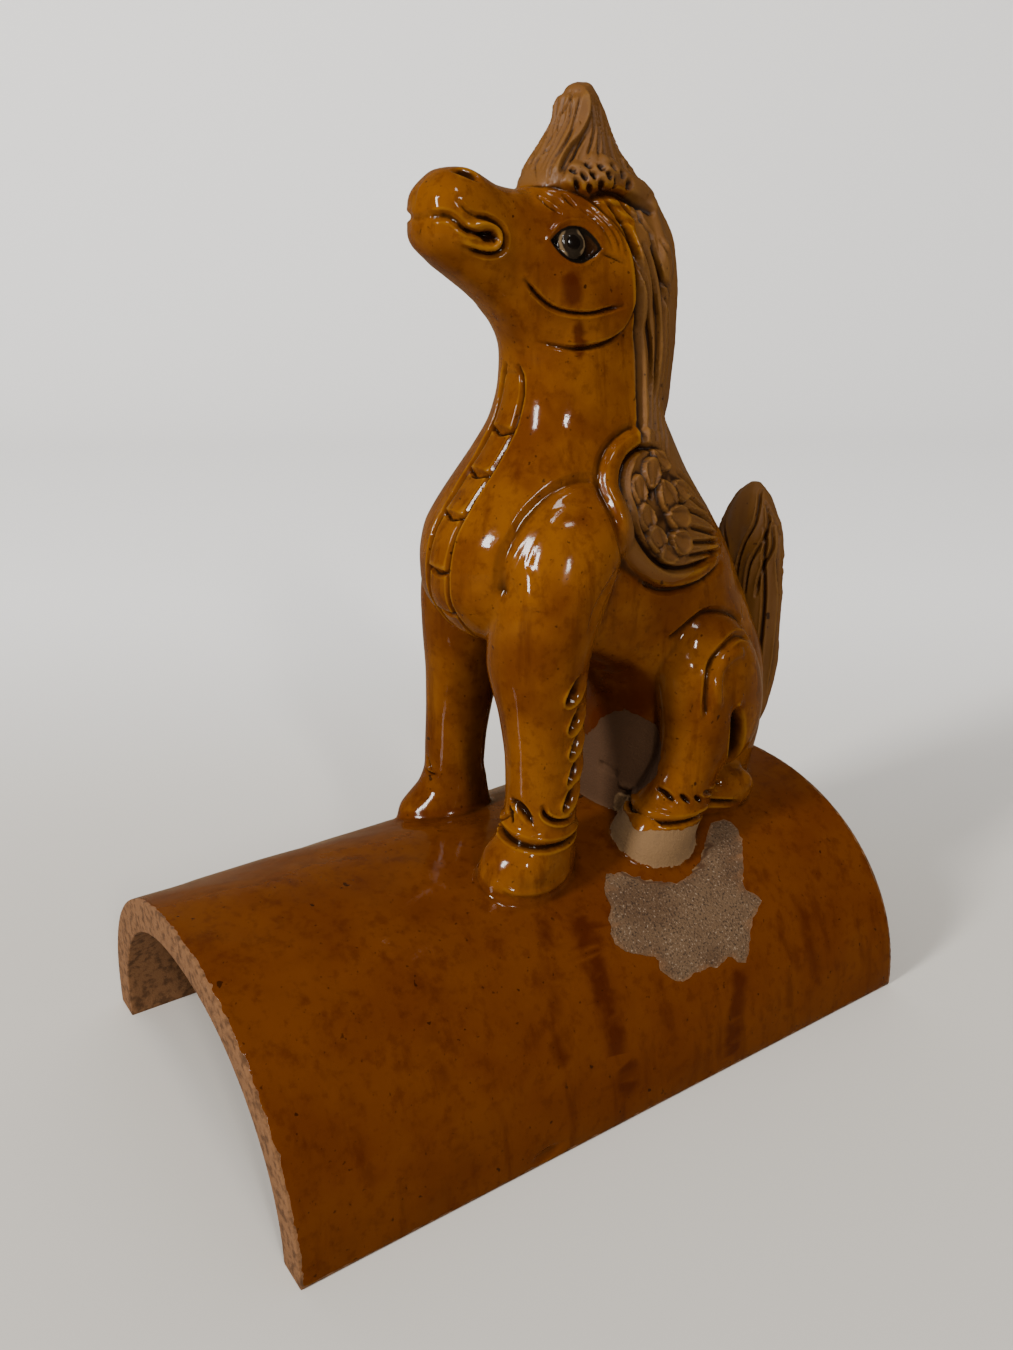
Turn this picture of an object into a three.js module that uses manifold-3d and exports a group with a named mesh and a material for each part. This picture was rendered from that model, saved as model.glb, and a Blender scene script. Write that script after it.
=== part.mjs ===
// A glazed roof ridge tile: a seated horse on a half-round barrel tile, modelled in clay, luted together and
// fired as one piece. Millimetres, +Z up. The origin is on the bedding plane under the middle of the tile, the
// tile runs along Y, and the horse faces -Y.
import * as THREE from "three";
import { mergeVertices } from "three/addons/utils/BufferGeometryUtils.js";
import Module from "manifold-3d";

// Barrel tile.
const TILE_LENGTH = 218;
const TILE_WIDTH = 140;
const TILE_HEIGHT = 63.6;
const TILE_WALL = 10;
const TILE_ARCH_POWER = 2.19; // 2 is an ellipse, and more makes the flanks steeper
const ARCH_STEPS = 28;

// Seated horse. Its forms and carving are drawn at DRAWN_HEIGHT over the crown of the tile, where z is 0, and
// are scaled to FIGURE_HEIGHT. The back of the tail is in line with the rear end of the tile.
const FIGURE_HEIGHT = 213.6;
const DRAWN_HEIGHT = 213.6;
const DRAWN_BACK = 109;
const DRAWN_FOOT_REACH = 40; // outermost point of the hooves from the middle
const HOOF_SPLAY = 0.4; // radians that each toe turns out
const FAR_LEG_SLIMMER = 0.12; // share by which the right foreleg is thinner at the hoof
const FAR_HOOF_WIDER = 5;
const FAR_LEG_BACK = 4.5;
const ROOT_MARGIN = 4; // how far the legs go into the tile below its surface

// Height of a half-round arch at x, for its half width and height at the crown.
function archHeight(x, halfWidth, height) {
  const share = Math.min(1, Math.abs(x) / halfWidth);
  return height * (1 - share ** TILE_ARCH_POWER) ** (1 / TILE_ARCH_POWER);
}

// The legs are drawn down to where the flank of the tile is, under the outer edge of the hooves.
const size = FIGURE_HEIGHT / DRAWN_HEIGHT;
const flank = archHeight(DRAWN_FOOT_REACH * size, TILE_WIDTH / 2, TILE_HEIGHT);
const HOOF_ROOT = (TILE_HEIGHT - flank + ROOT_MARGIN) / size;

const wasm = await Module();
wasm.setup();

// Solids and geometries.
function solidOf(geometry) {
  const bare = geometry.clone();
  bare.deleteAttribute("normal");
  bare.deleteAttribute("uv");
  const merged = mergeVertices(bare, 1e-3);
  return new wasm.Manifold(
    new wasm.Mesh({
      numProp: 3,
      vertProperties: merged.attributes.position.array,
      triVerts: new Uint32Array(merged.index.array),
    }),
  );
}

function geometryOf(solid) {
  const mesh = solid.getMesh();
  const geometry = new THREE.BufferGeometry();
  geometry.setAttribute("position", new THREE.BufferAttribute(mesh.vertProperties, 3));
  geometry.setIndex(new THREE.BufferAttribute(mesh.triVerts, 1));
  return geometry;
}

const joined = (solids) => solids.reduce((all, next) => all.add(next));
const cut = (solid, tools) => solid.subtract(joined(tools));
const bothSides = (make) => [make(1), make(-1)].flat();

// A closed skin over rings of points, each ring in the same order, with a fan over each end.
function skin(rings) {
  const sides = rings[0].length;
  const corners = rings.flat();
  const faces = [];
  for (let i = 0; i + 1 < rings.length; i++) {
    for (let j = 0; j < sides; j++) {
      const a = i * sides + j;
      const b = i * sides + ((j + 1) % sides);
      faces.push(a, b, b + sides, a, b + sides, a + sides);
    }
  }
  const middle = (ring) => ring.reduce((sum, p) => sum.add(p), new THREE.Vector3()).divideScalar(sides);
  const last = (rings.length - 1) * sides;
  corners.push(middle(rings[0]), middle(rings.at(-1)));
  for (let j = 0; j < sides; j++) {
    const k = (j + 1) % sides;
    faces.push(k, j, corners.length - 2, last + j, last + k, corners.length - 1);
  }
  return new THREE.BufferGeometry().setFromPoints(corners).setIndex(faces);
}

// A form lofted through stations [x, y, z, half width along X, half depth]. The rings lie in planes whose
// normal is up, or square to the path where up is left out. Splay turns the last ring about Z. Flutes are
// shallow locks that run along the form.
function loft(stations, options = {}) {
  const { up, rings = 12, sides = 18, power = 2, splay = 0, flutes = 0, fluteDepth = 0, twist = 0 } = options;
  const path = new THREE.CatmullRomCurve3(stations.map(([x, y, z]) => new THREE.Vector3(x, y, z)));
  const sizes = new THREE.CatmullRomCurve3(stations.map(([, , , w, d]) => new THREE.Vector3(w, d, 0)));
  const across = new THREE.Vector3(1, 0, 0);
  const made = [];
  for (let i = 0; i <= rings; i++) {
    const t = i / rings;
    const centre = path.getPoint(t);
    const size = sizes.getPoint(t);
    const along = path.getTangent(t);
    const normal = up ? up.clone().multiplyScalar(Math.sign(up.dot(along))) : along;
    const depth = normal.clone().cross(across).normalize();
    const wide = depth.clone().cross(normal).normalize();
    depth.applyAxisAngle(LEVEL, splay * t);
    wide.applyAxisAngle(LEVEL, splay * t);
    const ring = [];
    for (let j = 0; j < sides; j++) {
      const angle = (2 * Math.PI * j) / sides;
      const c = Math.cos(angle);
      const s = Math.sin(angle);
      const reach = (Math.abs(c) ** power + Math.abs(s) ** power) ** (-1 / power);
      const lock = 1 + fluteDepth * Math.cos(flutes * angle + twist * t);
      const point = centre.clone();
      point.addScaledVector(wide, size.x * c * reach * lock);
      point.addScaledVector(depth, size.y * s * reach * lock);
      ring.push(point);
    }
    made.push(ring);
  }
  return solidOf(skin(made));
}

const LEVEL = new THREE.Vector3(0, 0, 1);
const FORWARD = new THREE.Vector3(0, -1, 0);

// Stations of a form cut level: [z, front y, back y, half width].
const levels = (rows) => rows.map(([z, front, back, w]) => [0, (front + back) / 2, z, w, (back - front) / 2]);
// Stations of a form cut upright across Y: [y, lowest z, highest z, half width].
const slices = (rows) => rows.map(([y, low, high, w]) => [0, y, (low + high) / 2, w, (high - low) / 2]);

// An egg with its half sizes, leaned back about X and turned about Z.
function egg([x, y, z], [rx, ry, rz], { lean = 0, turn = 0, detail = 10 } = {}) {
  const ball = new THREE.SphereGeometry(1, detail, Math.ceil(detail * 0.6));
  return solidOf(ball.scale(rx, ry, rz).rotateX(lean).rotateZ(turn).translate(x, y, z));
}

// Torso and neck: a deep round chest over a belly that falls back to the seat.
const trunk = loft(
  levels([
    [-HOOF_ROOT, 33, 94, 20],
    [4, 32, 96, 23],
    [20, 33, 98, 25.5],
    [36, 32, 97, 27],
    [50, 24, 93.5, 28],
    [60, 6, 89, 28.5],
    [68, -15, 86, 29],
    [78, -22.5, 80.5, 30.5],
    [88, -23.5, 74, 31],
    [98, -21, 67, 30],
    [108, -14, 60, 27.5],
    [118, -6, 54.5, 23.5],
    [127, -0.5, 50.5, 20],
    [136, 2, 48, 18],
    [146, 2, 47, 17],
    [153, -1.5, 46, 16],
    [160, -7.5, 44, 14],
    [168, -10, 40, 11],
  ]),
  { up: LEVEL, rings: 18, sides: 18, power: 2.6 },
);

// Head: round cheeks, and a long muzzle that lifts to a bulbous nose.
const head = loft(
  slices([
    [51, 166, 180, 8],
    [45, 152, 186, 14.5],
    [35, 142, 188, 18],
    [24, 138.5, 188.5, 19],
    [13, 140, 188, 18],
    [4, 148, 187, 15],
    [-5, 157, 188.5, 12.8],
    [-13, 163, 192, 12.3],
    [-20, 167.5, 191.5, 11],
    [-25, 171.5, 187.5, 7.5],
    [-27, 177, 182, 2],
  ]),
  { up: FORWARD, rings: 15, sides: 16, power: 2.3 },
);

// Foreleg with its shoulder, down to a flared hoof that turns its toe out and goes into the tile.
function foreleg(side, slimmer, wider, back) {
  const stations = [
    [15, 17, 112, 10, 12],
    [20.5, 11, 103, 13, 18],
    [23.5, 4, 90, 14, 17],
    [22.5, -1.5, 76, 15.5, 16],
    [21, -3.5, 62, 15, 14.5],
    [21.8, -2.8, 48, 12.3, 13],
    [22.5, -2.5, 34, 10.8, 12],
    [22.5, -3, 22, 10.5, 11.3],
    [22.5, -4, 13, 10.5, 12],
    [22.3, -6, 6, 11.5, 15.4],
    [22, -7.7, -1, 12.4, 18.1],
    [22, -7.7, -HOOF_ROOT, 12.4, 18.1],
  ];
  const shaped = stations.map(([x, y, z, w, d]) => {
    const low = THREE.MathUtils.smoothstep(90 - z, 0, 90);
    const thin = 1 - slimmer * low;
    return [side * (x + wider * low), y + back * (1 - low), z, w * thin, d * thin];
  });
  return loft(shaped, { up: LEVEL, rings: 12, sides: 12, splay: side * HOOF_SPLAY });
}

// Hind leg: a haunch like an egg, with the shank and hoof folded in front of it and the heel behind.
function hindLeg(side) {
  const shank = [
    [27, 51, 63, 3, 4],
    [27, 49, 56, 8.5, 10],
    [28, 51, 46, 11, 13],
    [28, 53, 33, 11.5, 13],
    [27, 53, 22, 10.5, 14],
    [26, 49, 13, 10.5, 15],
    [26, 43, 5, 12, 16.5],
    [26, 38.5, -2, 13, 15.5],
    [26, 38.5, -HOOF_ROOT, 13, 15.5],
  ];
  const placed = shank.map(([x, ...rest]) => [side * x, ...rest]);
  return joined([
    egg([side * 26, 59.5, 41], [12.5, 19.5, 28.5], { lean: 0.32, detail: 12 }),
    egg([side * 21, 66, 2], [8, 17, 9], { turn: side * -0.25, detail: 7 }),
    loft(placed, { up: LEVEL, rings: 9, sides: 12, splay: side * HOOF_SPLAY }),
  ]);
}

// Forelock: a flame of hair that rises from the poll and ends in a blunt tip.
const forelock = loft(
  [
    [0, 26, 176, 13, 20],
    [0, 26, 186, 13.5, 20.5],
    [0, 25, 191, 12, 16.5],
    [0, 24.5, 197.5, 9, 11.2],
    [0, 24.7, 204, 6.8, 7.8],
    [0, 24, 210, 5.2, 5.5],
    [0, 24.8, 213, 2.8, 2.8],
    [0, 25, DRAWN_HEIGHT, 1.2, 1.4],
  ],
  { up: LEVEL, rings: 8, sides: 21, flutes: 7, fluteDepth: 0.08, twist: 1.2 },
);

// Mane: long locks hanging down the back and sides of the neck.
const mane = loft(
  [
    [0, 40, 189, 8, 4],
    [0, 40.5, 182, 13, 8],
    [0, 41, 173, 16.5, 11.5],
    [0, 41, 160, 17, 13.5],
    [0, 41, 146, 16.5, 13.5],
    [0, 42, 131, 14.5, 12],
    [0, 43, 119, 11, 9],
    [0, 45, 112, 3, 3],
  ],
  { up: LEVEL, rings: 7, sides: 24, flutes: 8, fluteDepth: 0.06, twist: 0.4 },
);

// Tail: a flame that stands up behind the rump.
const tail = loft(
  [
    [0, 90, 6, 9, 6],
    [0, 98, 22, 14, 8],
    [0, 100, 42, 15, 7.8],
    [0, 100.5, 64, 14, 7.6],
    [0, 100.5, 80, 12.5, 7.4],
    [0, 100.4, 88, 9.5, 6.4],
    [0, 100.8, 94.5, 5.5, 4.2],
    [0, 101.2, 98, 1.5, 1.5],
  ],
  { rings: 8, sides: 21, flutes: 7, fluteDepth: 0.08, twist: 1.5 },
);

const forms = joined([
  trunk,
  head,
  foreleg(1, 0, 0, 0),
  foreleg(-1, FAR_LEG_SLIMMER, FAR_HOOF_WIDER, FAR_LEG_BACK),
  ...bothSides(hindLeg),
  forelock,
  mane,
  tail,
]);

// Carving is drawn in the side view as [y, z], and falls on the forms along X.
const uncarved = new THREE.Mesh(geometryOf(forms), new THREE.MeshBasicMaterial());
const caster = new THREE.Raycaster();
const CLEAR = 200; // rays start this far outside the forms
function fallOn(from, direction) {
  caster.set(from, direction);
  return caster.intersectObject(uncarved)[0]?.point;
}
const onSide = (side, y, z) => fallOn(new THREE.Vector3(side * CLEAR, y, z), new THREE.Vector3(-side, 0, 0));
const onFront = (x, z) => fallOn(new THREE.Vector3(x, -CLEAR, z), new THREE.Vector3(0, 1, 0));

// A worm of clay or a tool mark along a line on the surface, thin at its ends. It is added or cut.
function line(spots, halfWidth, depth) {
  const stations = spots.filter(Boolean).map((p, i, all) => {
    const share = i === 0 || i === all.length - 1 ? 0.4 : 1;
    return [p.x, p.y, p.z, depth * share, halfWidth * share];
  });
  return loft(stations, { rings: stations.length - 1, sides: 4 });
}
const sideLine = (side, points, halfWidth, depth) =>
  line(points.map(([y, z]) => onSide(side, y, z)), halfWidth, depth);

// A bead or a pit on the surface: an egg drawn in the side view, leaned about X.
function bead(side, [y, z], [deep, long, high], lean = 0, detail = 5) {
  const { x } = onSide(side, y, z);
  return egg([x, y, z], [deep, long, high], { lean, detail });
}

// An oval in the side view, as points.
function oval([y, z], [long, high], lean, count, from = 0, to = 2 * Math.PI) {
  return Array.from({ length: count }, (_, i) => {
    const angle = from + ((to - from) * i) / (count - 1);
    const a = long * Math.cos(angle);
    const b = high * Math.sin(angle);
    return [y + a * Math.cos(lean) - b * Math.sin(lean), z + a * Math.sin(lean) + b * Math.cos(lean)];
  });
}

// Eye: an almond hollow with a ball in it.
const EYE = [12, 172.7];
const EYE_LEAN = -0.17;
const eyeHollow = (side) => bead(side, EYE, [2.2, 7, 4.3], EYE_LEAN, 8);
function eyeBall(side) {
  const { x } = onSide(side, ...EYE);
  return egg([x - side * 1.8, ...EYE], [2.6, 3.6, 3.6], { detail: 7 });
}

// Saddle plate: a raised oval rim on each flank, filled with leaf-like curls.
const SADDLE = [33.5, 101];
const SADDLE_SIZE = [19, 20.5];
const SADDLE_LEAN = -0.2;
function saddleRim(side) {
  return sideLine(side, oval(SADDLE, SADDLE_SIZE, SADDLE_LEAN, 12, 0.35, 5.9), 2, 1.8);
}
function saddleCurls(side) {
  const rows = [
    { size: 12.5, count: 6, turn: 0.2 },
    { size: 3.8, count: 2, turn: 0.6 },
  ];
  return rows.flatMap(({ size, count, turn }) =>
    Array.from({ length: count }, (_, i) => {
      const angle = turn + (2 * Math.PI * i) / count;
      const spot = [SADDLE[0] + size * 0.85 * Math.cos(angle), SADDLE[1] + size * Math.sin(angle)];
      return bead(side, spot, [2.2, 5.8, 3.7], angle + 0.9);
    }),
  );
}

// Knobs of curled hair along the foot of the forelock.
const BROW_CURLS = [[14, 189], [20, 191], [27, 190.5], [34, 188.5]];
const browCurls = (side) => BROW_CURLS.map((spot) => bead(side, spot, [2.5, 3.6, 3]));

// Tool cuts at the back of each foreleg.
const TUFTS = 5;
const TUFT_TOP = 58;
const TUFT_SPACING = 9;
function legTufts(side) {
  return Array.from({ length: TUFTS }, (_, i) => {
    const y = 2 - 0.7 * i;
    return bead(side, [y, TUFT_TOP - i * TUFT_SPACING], [1.8, 5.2, 1.5], 0.75);
  });
}

const grooves = bothSides((side) => [
  eyeHollow(side),
  // Mouth, with its corner turned up into a loop.
  sideLine(side, [[-25.5, 180], [-23, 178.8], [-20, 176.2], [-16, 174.9], [-12.5, 174.7]], 1, 1.8),
  sideLine(side, [[-18, 178.4], [-13, 178.6], [-9, 175.5], [-10.5, 171.8], [-18, 172.5]], 0.8, 1.4),
  bead(side, [-15.7, 189.2], [2.6, 2.8, 1.6], -0.3),
  // Cheek: the smile line, and the edge of the jaw.
  sideLine(side, [[-1.4, 163.4], [4, 157.5], [13, 155.6], [25.3, 156.7]], 0.8, 1.6),
  sideLine(side, [[5, 147.8], [16, 146], [27, 149], [30.2, 160], [29, 173]], 1, 1.6),
  sideLine(side, [[5, 183.3], [6.1, 182], [7.2, 180.6]], 0.9, 1.2),
  sideLine(side, [[11.4, 183.4], [12.4, 182.3], [13.4, 181.2]], 0.9, 1.2),
  // Shoulder and haunch.
  sideLine(side, [[14.3, 111.5], [7, 113.4], [-3, 109.5], [-11, 102], [-15.2, 90], [-14.5, 76]], 1.3, 1.8),
  sideLine(side, [[10.4, 88], [4, 81], [1, 71]], 1, 1.2),
  sideLine(side, [[46.5, 42], [47.6, 53], [56, 60], [68, 57]], 1.2, 1.8),
  bead(side, [62, 31], [5, 2.6, 11], 0.3, 7),
  ...legTufts(side),
]);

const ridges = bothSides((side) => [
  // Shoulder ridge inside its groove, and the lip of the loop at the mouth.
  sideLine(side, [[13, 108.6], [6, 110.3], [-2, 106.5], [-9, 98.5], [-12.2, 85]], 1.4, 1.5),
  saddleRim(side),
  ...saddleCurls(side),
  ...browCurls(side),
]);

// Breastplate: two long tool lines down the front of neck and chest, and the cuts across between them.
const PLATE_HALF_WIDTH = 5.3;
const PLATE_CUTS = [124.6, 113.3, 102.5, 87, 75];
const breastplate = [
  ...bothSides((side) =>
    line([139, 128, 116, 104, 92, 81, 70].map((z) => onFront(side * PLATE_HALF_WIDTH, z)), 1.4, 0.8),
  ),
  ...PLATE_CUTS.map((z) => {
    const { x, y } = onFront(0, z);
    const bar = new THREE.CylinderGeometry(0.8, 0.8, 2 * PLATE_HALF_WIDTH, 5);
    return solidOf(bar.rotateZ(Math.PI / 2).translate(x, y, z));
  }),
];

// Bands tooled round the hooves.
const BAND_WIDTH = 0.1; // as a share of the hoof's half width
const BAND_HEIGHT = 12;
function hoofBand([x, y, z], [rx, ry], lean, turn) {
  const ring = new THREE.TorusGeometry(1, BAND_WIDTH, 4, 9).scale(rx, ry, BAND_HEIGHT);
  return solidOf(ring.rotateX(lean).rotateZ(turn).translate(x, y, z));
}
const bands = [
  hoofBand([22.4, -4.6, 10.5], [11.2, 13.4], 0.22, HOOF_SPLAY * 0.8),
  hoofBand([-26.2, -3.2, 10.5], [10, 11.9], 0.22, -HOOF_SPLAY * 0.8),
  ...bothSides((side) => hoofBand([side * 26, 46.5, 9], [11, 15.6], 0.35, side * HOOF_SPLAY * 0.7)),
];

const carved = cut(joined([forms, ...ridges]), [...grooves, ...breastplate, ...bands]);
const figure = joined([carved, ...bothSides(eyeBall)]);

// Barrel tile: a half-round arch with a hollow underneath.
function archShape(halfWidth, height) {
  const points = [];
  for (let i = 0; i <= ARCH_STEPS; i++) {
    const angle = (Math.PI * i) / ARCH_STEPS;
    const c = Math.cos(angle);
    const x = Math.sign(c) * Math.abs(c) ** (2 / TILE_ARCH_POWER) * halfWidth;
    points.push(new THREE.Vector2(x, archHeight(x, halfWidth, height)));
  }
  return new THREE.Shape(points);
}

// An arch's outline in XZ, run along Y about the middle of the tile.
function archRun(halfWidth, height, length) {
  const run = new THREE.ExtrudeGeometry(archShape(halfWidth, height), {
    depth: length,
    bevelEnabled: false,
  });
  return solidOf(run.translate(0, 0, -length / 2).rotateX(Math.PI / 2));
}

const tileOuter = archRun(TILE_WIDTH / 2, TILE_HEIGHT, TILE_LENGTH);
const tileHollow = archRun(TILE_WIDTH / 2 - TILE_WALL, TILE_HEIGHT - TILE_WALL, TILE_LENGTH * 2);

const back = TILE_LENGTH / 2 - DRAWN_BACK * size;
const seated = solidOf(geometryOf(figure).scale(size, size, size).translate(0, back, TILE_HEIGHT));
const fired = cut(joined([tileOuter, seated]), [tileHollow]);
// Crumbs that a tool mark frees from the surface fall away.
const [body] = fired.decompose().sort((a, b) => b.volume() - a.volume());

const glaze = new THREE.MeshStandardMaterial({ color: 0xa8640f, roughness: 0.2, metalness: 0 });
const ornament = new THREE.Mesh(geometryOf(body), glaze);
ornament.name = "horse_ridge_tile";

const part = new THREE.Group();
part.add(ornament);
export default part;
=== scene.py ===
import math

import bpy
import numpy as np
from mathutils import Matrix, Vector
from mathutils.kdtree import KDTree


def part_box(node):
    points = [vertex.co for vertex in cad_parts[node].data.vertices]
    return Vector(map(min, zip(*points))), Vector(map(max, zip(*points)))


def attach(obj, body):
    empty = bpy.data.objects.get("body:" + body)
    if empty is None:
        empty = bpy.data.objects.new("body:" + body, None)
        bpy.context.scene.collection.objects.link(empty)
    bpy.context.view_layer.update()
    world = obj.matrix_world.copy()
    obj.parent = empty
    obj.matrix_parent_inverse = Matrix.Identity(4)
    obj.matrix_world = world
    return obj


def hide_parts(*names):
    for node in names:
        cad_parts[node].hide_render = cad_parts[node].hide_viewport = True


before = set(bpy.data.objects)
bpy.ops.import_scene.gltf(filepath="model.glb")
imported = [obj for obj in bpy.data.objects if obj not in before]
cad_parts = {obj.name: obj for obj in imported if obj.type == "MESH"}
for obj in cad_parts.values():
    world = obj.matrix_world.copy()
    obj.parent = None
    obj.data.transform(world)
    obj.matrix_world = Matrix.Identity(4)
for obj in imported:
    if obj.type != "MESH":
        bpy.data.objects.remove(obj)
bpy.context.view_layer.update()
NODE = "horse_ridge_tile"
MM = 0.001


# Camera
# A hand-held view from the front left, a little above the horse's back.
# It was fitted to the straight edges of the tile.
CAMERA_PLACE = Vector((0.27486, -0.18626, 0.24040))
CAMERA_YAW = math.radians(55.89)
CAMERA_PITCH = math.radians(20.76)
CAMERA_ROLL = math.radians(-0.38)
LENS_MM = 31.24
SENSOR_MM = 36
NEAREST_SEEN = 0.01

ahead = -Vector(
    (
        math.sin(CAMERA_YAW) * math.cos(CAMERA_PITCH),
        -math.cos(CAMERA_YAW) * math.cos(CAMERA_PITCH),
        math.sin(CAMERA_PITCH),
    )
)
level = ahead.cross(Vector((0, 0, 1))).normalized()
upright = level.cross(ahead)
right = level * math.cos(CAMERA_ROLL) + upright * math.sin(CAMERA_ROLL)
top = upright * math.cos(CAMERA_ROLL) - level * math.sin(CAMERA_ROLL)
camera = bpy.data.objects.new("camera", bpy.data.cameras.new("camera"))
camera.matrix_world = Matrix.Translation(CAMERA_PLACE) @ Matrix((right, top, -ahead)).transposed().to_4x4()
camera.data.lens = LENS_MM
camera.data.sensor_width = SENSOR_MM
camera.data.clip_start = NEAREST_SEEN
bpy.context.scene.collection.objects.link(camera)
bpy.context.scene.camera = camera


# Floor, backdrop and light
# A pale sweep of board under and behind the tile, turned square to the camera.
# Two windows, a ceiling and the soft light of the room fall on it. None of it belongs to the ornament.
SWEEP_HALF_WIDTH = 3.0
SWEEP_FRONT = -2.5
SWEEP_BEND = 0.5
SWEEP_BACK = 1.1
SWEEP_HEIGHT = 3.0
SWEEP_STEPS = 16
TABLE_COLOUR = (0.57, 0.535, 0.480, 1)
WALL_COLOUR = (0.95, 0.935, 0.915, 1)
BOARD_IN_GLOSS = (0.16, 0.11, 0.06, 1)
BOARD_ROUGHNESS = 0.85
TABLE_ENDS = 0.0
WALL_BEGINS = 0.5
AIM = Vector((0, 0, 0.15))
LIGHT_DISTANCE = 3.0
ROOM_COLOUR = (0.90, 0.92, 0.95, 1)
ROOM_STRENGTH = 0.50
ROOM_IN_GLOSS = 0.05

sweep = [(SWEEP_FRONT, 0.0)]
for step in range(SWEEP_STEPS + 1):
    turned = math.pi / 2 * step / SWEEP_STEPS
    sweep.append((SWEEP_BACK + SWEEP_BEND * math.sin(turned), SWEEP_BEND * (1 - math.cos(turned))))
sweep.append((SWEEP_BACK + SWEEP_BEND, SWEEP_HEIGHT))
sweep_corners = [(side * SWEEP_HALF_WIDTH, y, z) for y, z in sweep for side in (-1, 1)]
sweep_faces = [(2 * i, 2 * i + 1, 2 * i + 3, 2 * i + 2) for i in range(len(sweep) - 1)]
board_mesh = bpy.data.meshes.new("backdrop")
board_mesh.from_pydata(sweep_corners, [], sweep_faces)
board_mesh.shade_smooth()
board = bpy.data.objects.new("backdrop", board_mesh)
board.rotation_euler.z = CAMERA_YAW
pale_board = bpy.data.materials.new("pale_board")
pale_board.use_nodes = True
board_nodes = pale_board.node_tree.nodes
board_links = pale_board.node_tree.links
board_place = board_nodes.new("ShaderNodeTexCoord")
board_axes = board_nodes.new("ShaderNodeSeparateXYZ")
board_rise = board_nodes.new("ShaderNodeMapRange")
board_rise.interpolation_type = "SMOOTHSTEP"
board_rise.inputs["From Min"].default_value = TABLE_ENDS
board_rise.inputs["From Max"].default_value = WALL_BEGINS
board_shade = board_nodes.new("ShaderNodeMix")
board_shade.data_type = "RGBA"
board_shade.inputs[6].default_value = TABLE_COLOUR
board_shade.inputs[7].default_value = WALL_COLOUR
board_links.new(board_place.outputs["Object"], board_axes.inputs[0])
board_links.new(board_axes.outputs["Y"], board_rise.inputs["Value"])
board_links.new(board_rise.outputs["Result"], board_shade.inputs[0])
# In the gloss of the glaze the board shows dark warm brown, not pale: a painted reflection.
board_ray = board_nodes.new("ShaderNodeLightPath")
board_gloss = board_nodes.new("ShaderNodeMix")
board_gloss.data_type = "RGBA"
board_gloss.inputs[7].default_value = BOARD_IN_GLOSS
board_links.new(board_ray.outputs["Is Glossy Ray"], board_gloss.inputs[0])
board_links.new(board_shade.outputs[2], board_gloss.inputs[6])
board_links.new(board_gloss.outputs[2], board_nodes["Principled BSDF"].inputs["Base Color"])
board_nodes["Principled BSDF"].inputs["Roughness"].default_value = BOARD_ROUGHNESS
board_mesh.materials.append(pale_board)
bpy.context.scene.collection.objects.link(board)


def window_light(name, turn, rise, size, watts, colour):
    """A soft rectangular light that faces the horse, turned from the horse's front to its left."""
    turn, rise = math.radians(turn), math.radians(rise)
    way = Vector((math.sin(turn) * math.cos(rise), -math.cos(turn) * math.cos(rise), math.sin(rise)))
    light = bpy.data.lights.new(name, "AREA")
    light.shape = "RECTANGLE"
    light.size, light.size_y = size
    light.energy = watts
    light.color = colour
    made = bpy.data.objects.new(name, light)
    made.location = AIM + way * LIGHT_DISTANCE
    made.rotation_euler = (-way).to_track_quat("-Z", "Y").to_euler()
    bpy.context.scene.collection.objects.link(made)


window_light("window", turn=4, rise=29, size=(0.42, 0.85), watts=105, colour=(1.0, 0.985, 0.96))
window_light("second_window", turn=76, rise=27, size=(0.22, 0.5), watts=34, colour=(1.0, 0.98, 0.95))
window_light("ceiling", turn=75, rise=68, size=(0.5, 0.5), watts=22, colour=(1.0, 0.97, 0.93))

# The room behind the camera is dim, so it lights the clay softly but hardly shows in the gloss.
world = bpy.data.worlds.new("room_light")
world.use_nodes = True
room = world.node_tree.nodes["Background"]
room.inputs["Color"].default_value = ROOM_COLOUR
ray = world.node_tree.nodes.new("ShaderNodeLightPath")
dimmed = world.node_tree.nodes.new("ShaderNodeMapRange")
dimmed.inputs["To Min"].default_value = ROOM_STRENGTH
dimmed.inputs["To Max"].default_value = ROOM_IN_GLOSS
world.node_tree.links.new(ray.outputs["Is Glossy Ray"], dimmed.inputs["Value"])
world.node_tree.links.new(dimmed.outputs["Result"], room.inputs["Strength"])
bpy.context.scene.world = world


# Barrel tile
# Half-round and open at its ends, rolled from a slab of clay over a wooden former and cut square.
# Its glaze is worn off in one patch on the left flank, and its ends and underside are bare.
node_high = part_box(NODE)[1]
TILE_HALF_WIDTH = node_high.x / MM
TILE_HALF_LENGTH = node_high.y / MM
TILE_WALL = 10
TILE_ARCH_POWER = 2.19
HORSE_HEIGHT = 213.6
CROWN = node_high.z / MM - HORSE_HEIGHT
ARCH_POINTS = 160

clay = []


def arch_height(x, half_width, height):
    """Height of the arch over its feet, at a distance x from its middle."""
    share = np.minimum(1, np.abs(x) / half_width)
    return height * (1 - share**TILE_ARCH_POWER) ** (1 / TILE_ARCH_POWER)


def arch_line(half_width, height):
    """Points of a half-round arch from its right foot over the crown to its left foot."""
    turned = np.linspace(0, math.pi, ARCH_POINTS)
    x = np.sign(np.cos(turned)) * np.abs(np.cos(turned)) ** (2 / TILE_ARCH_POWER) * half_width
    return np.stack([x, arch_height(x, half_width, height)], 1)


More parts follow.
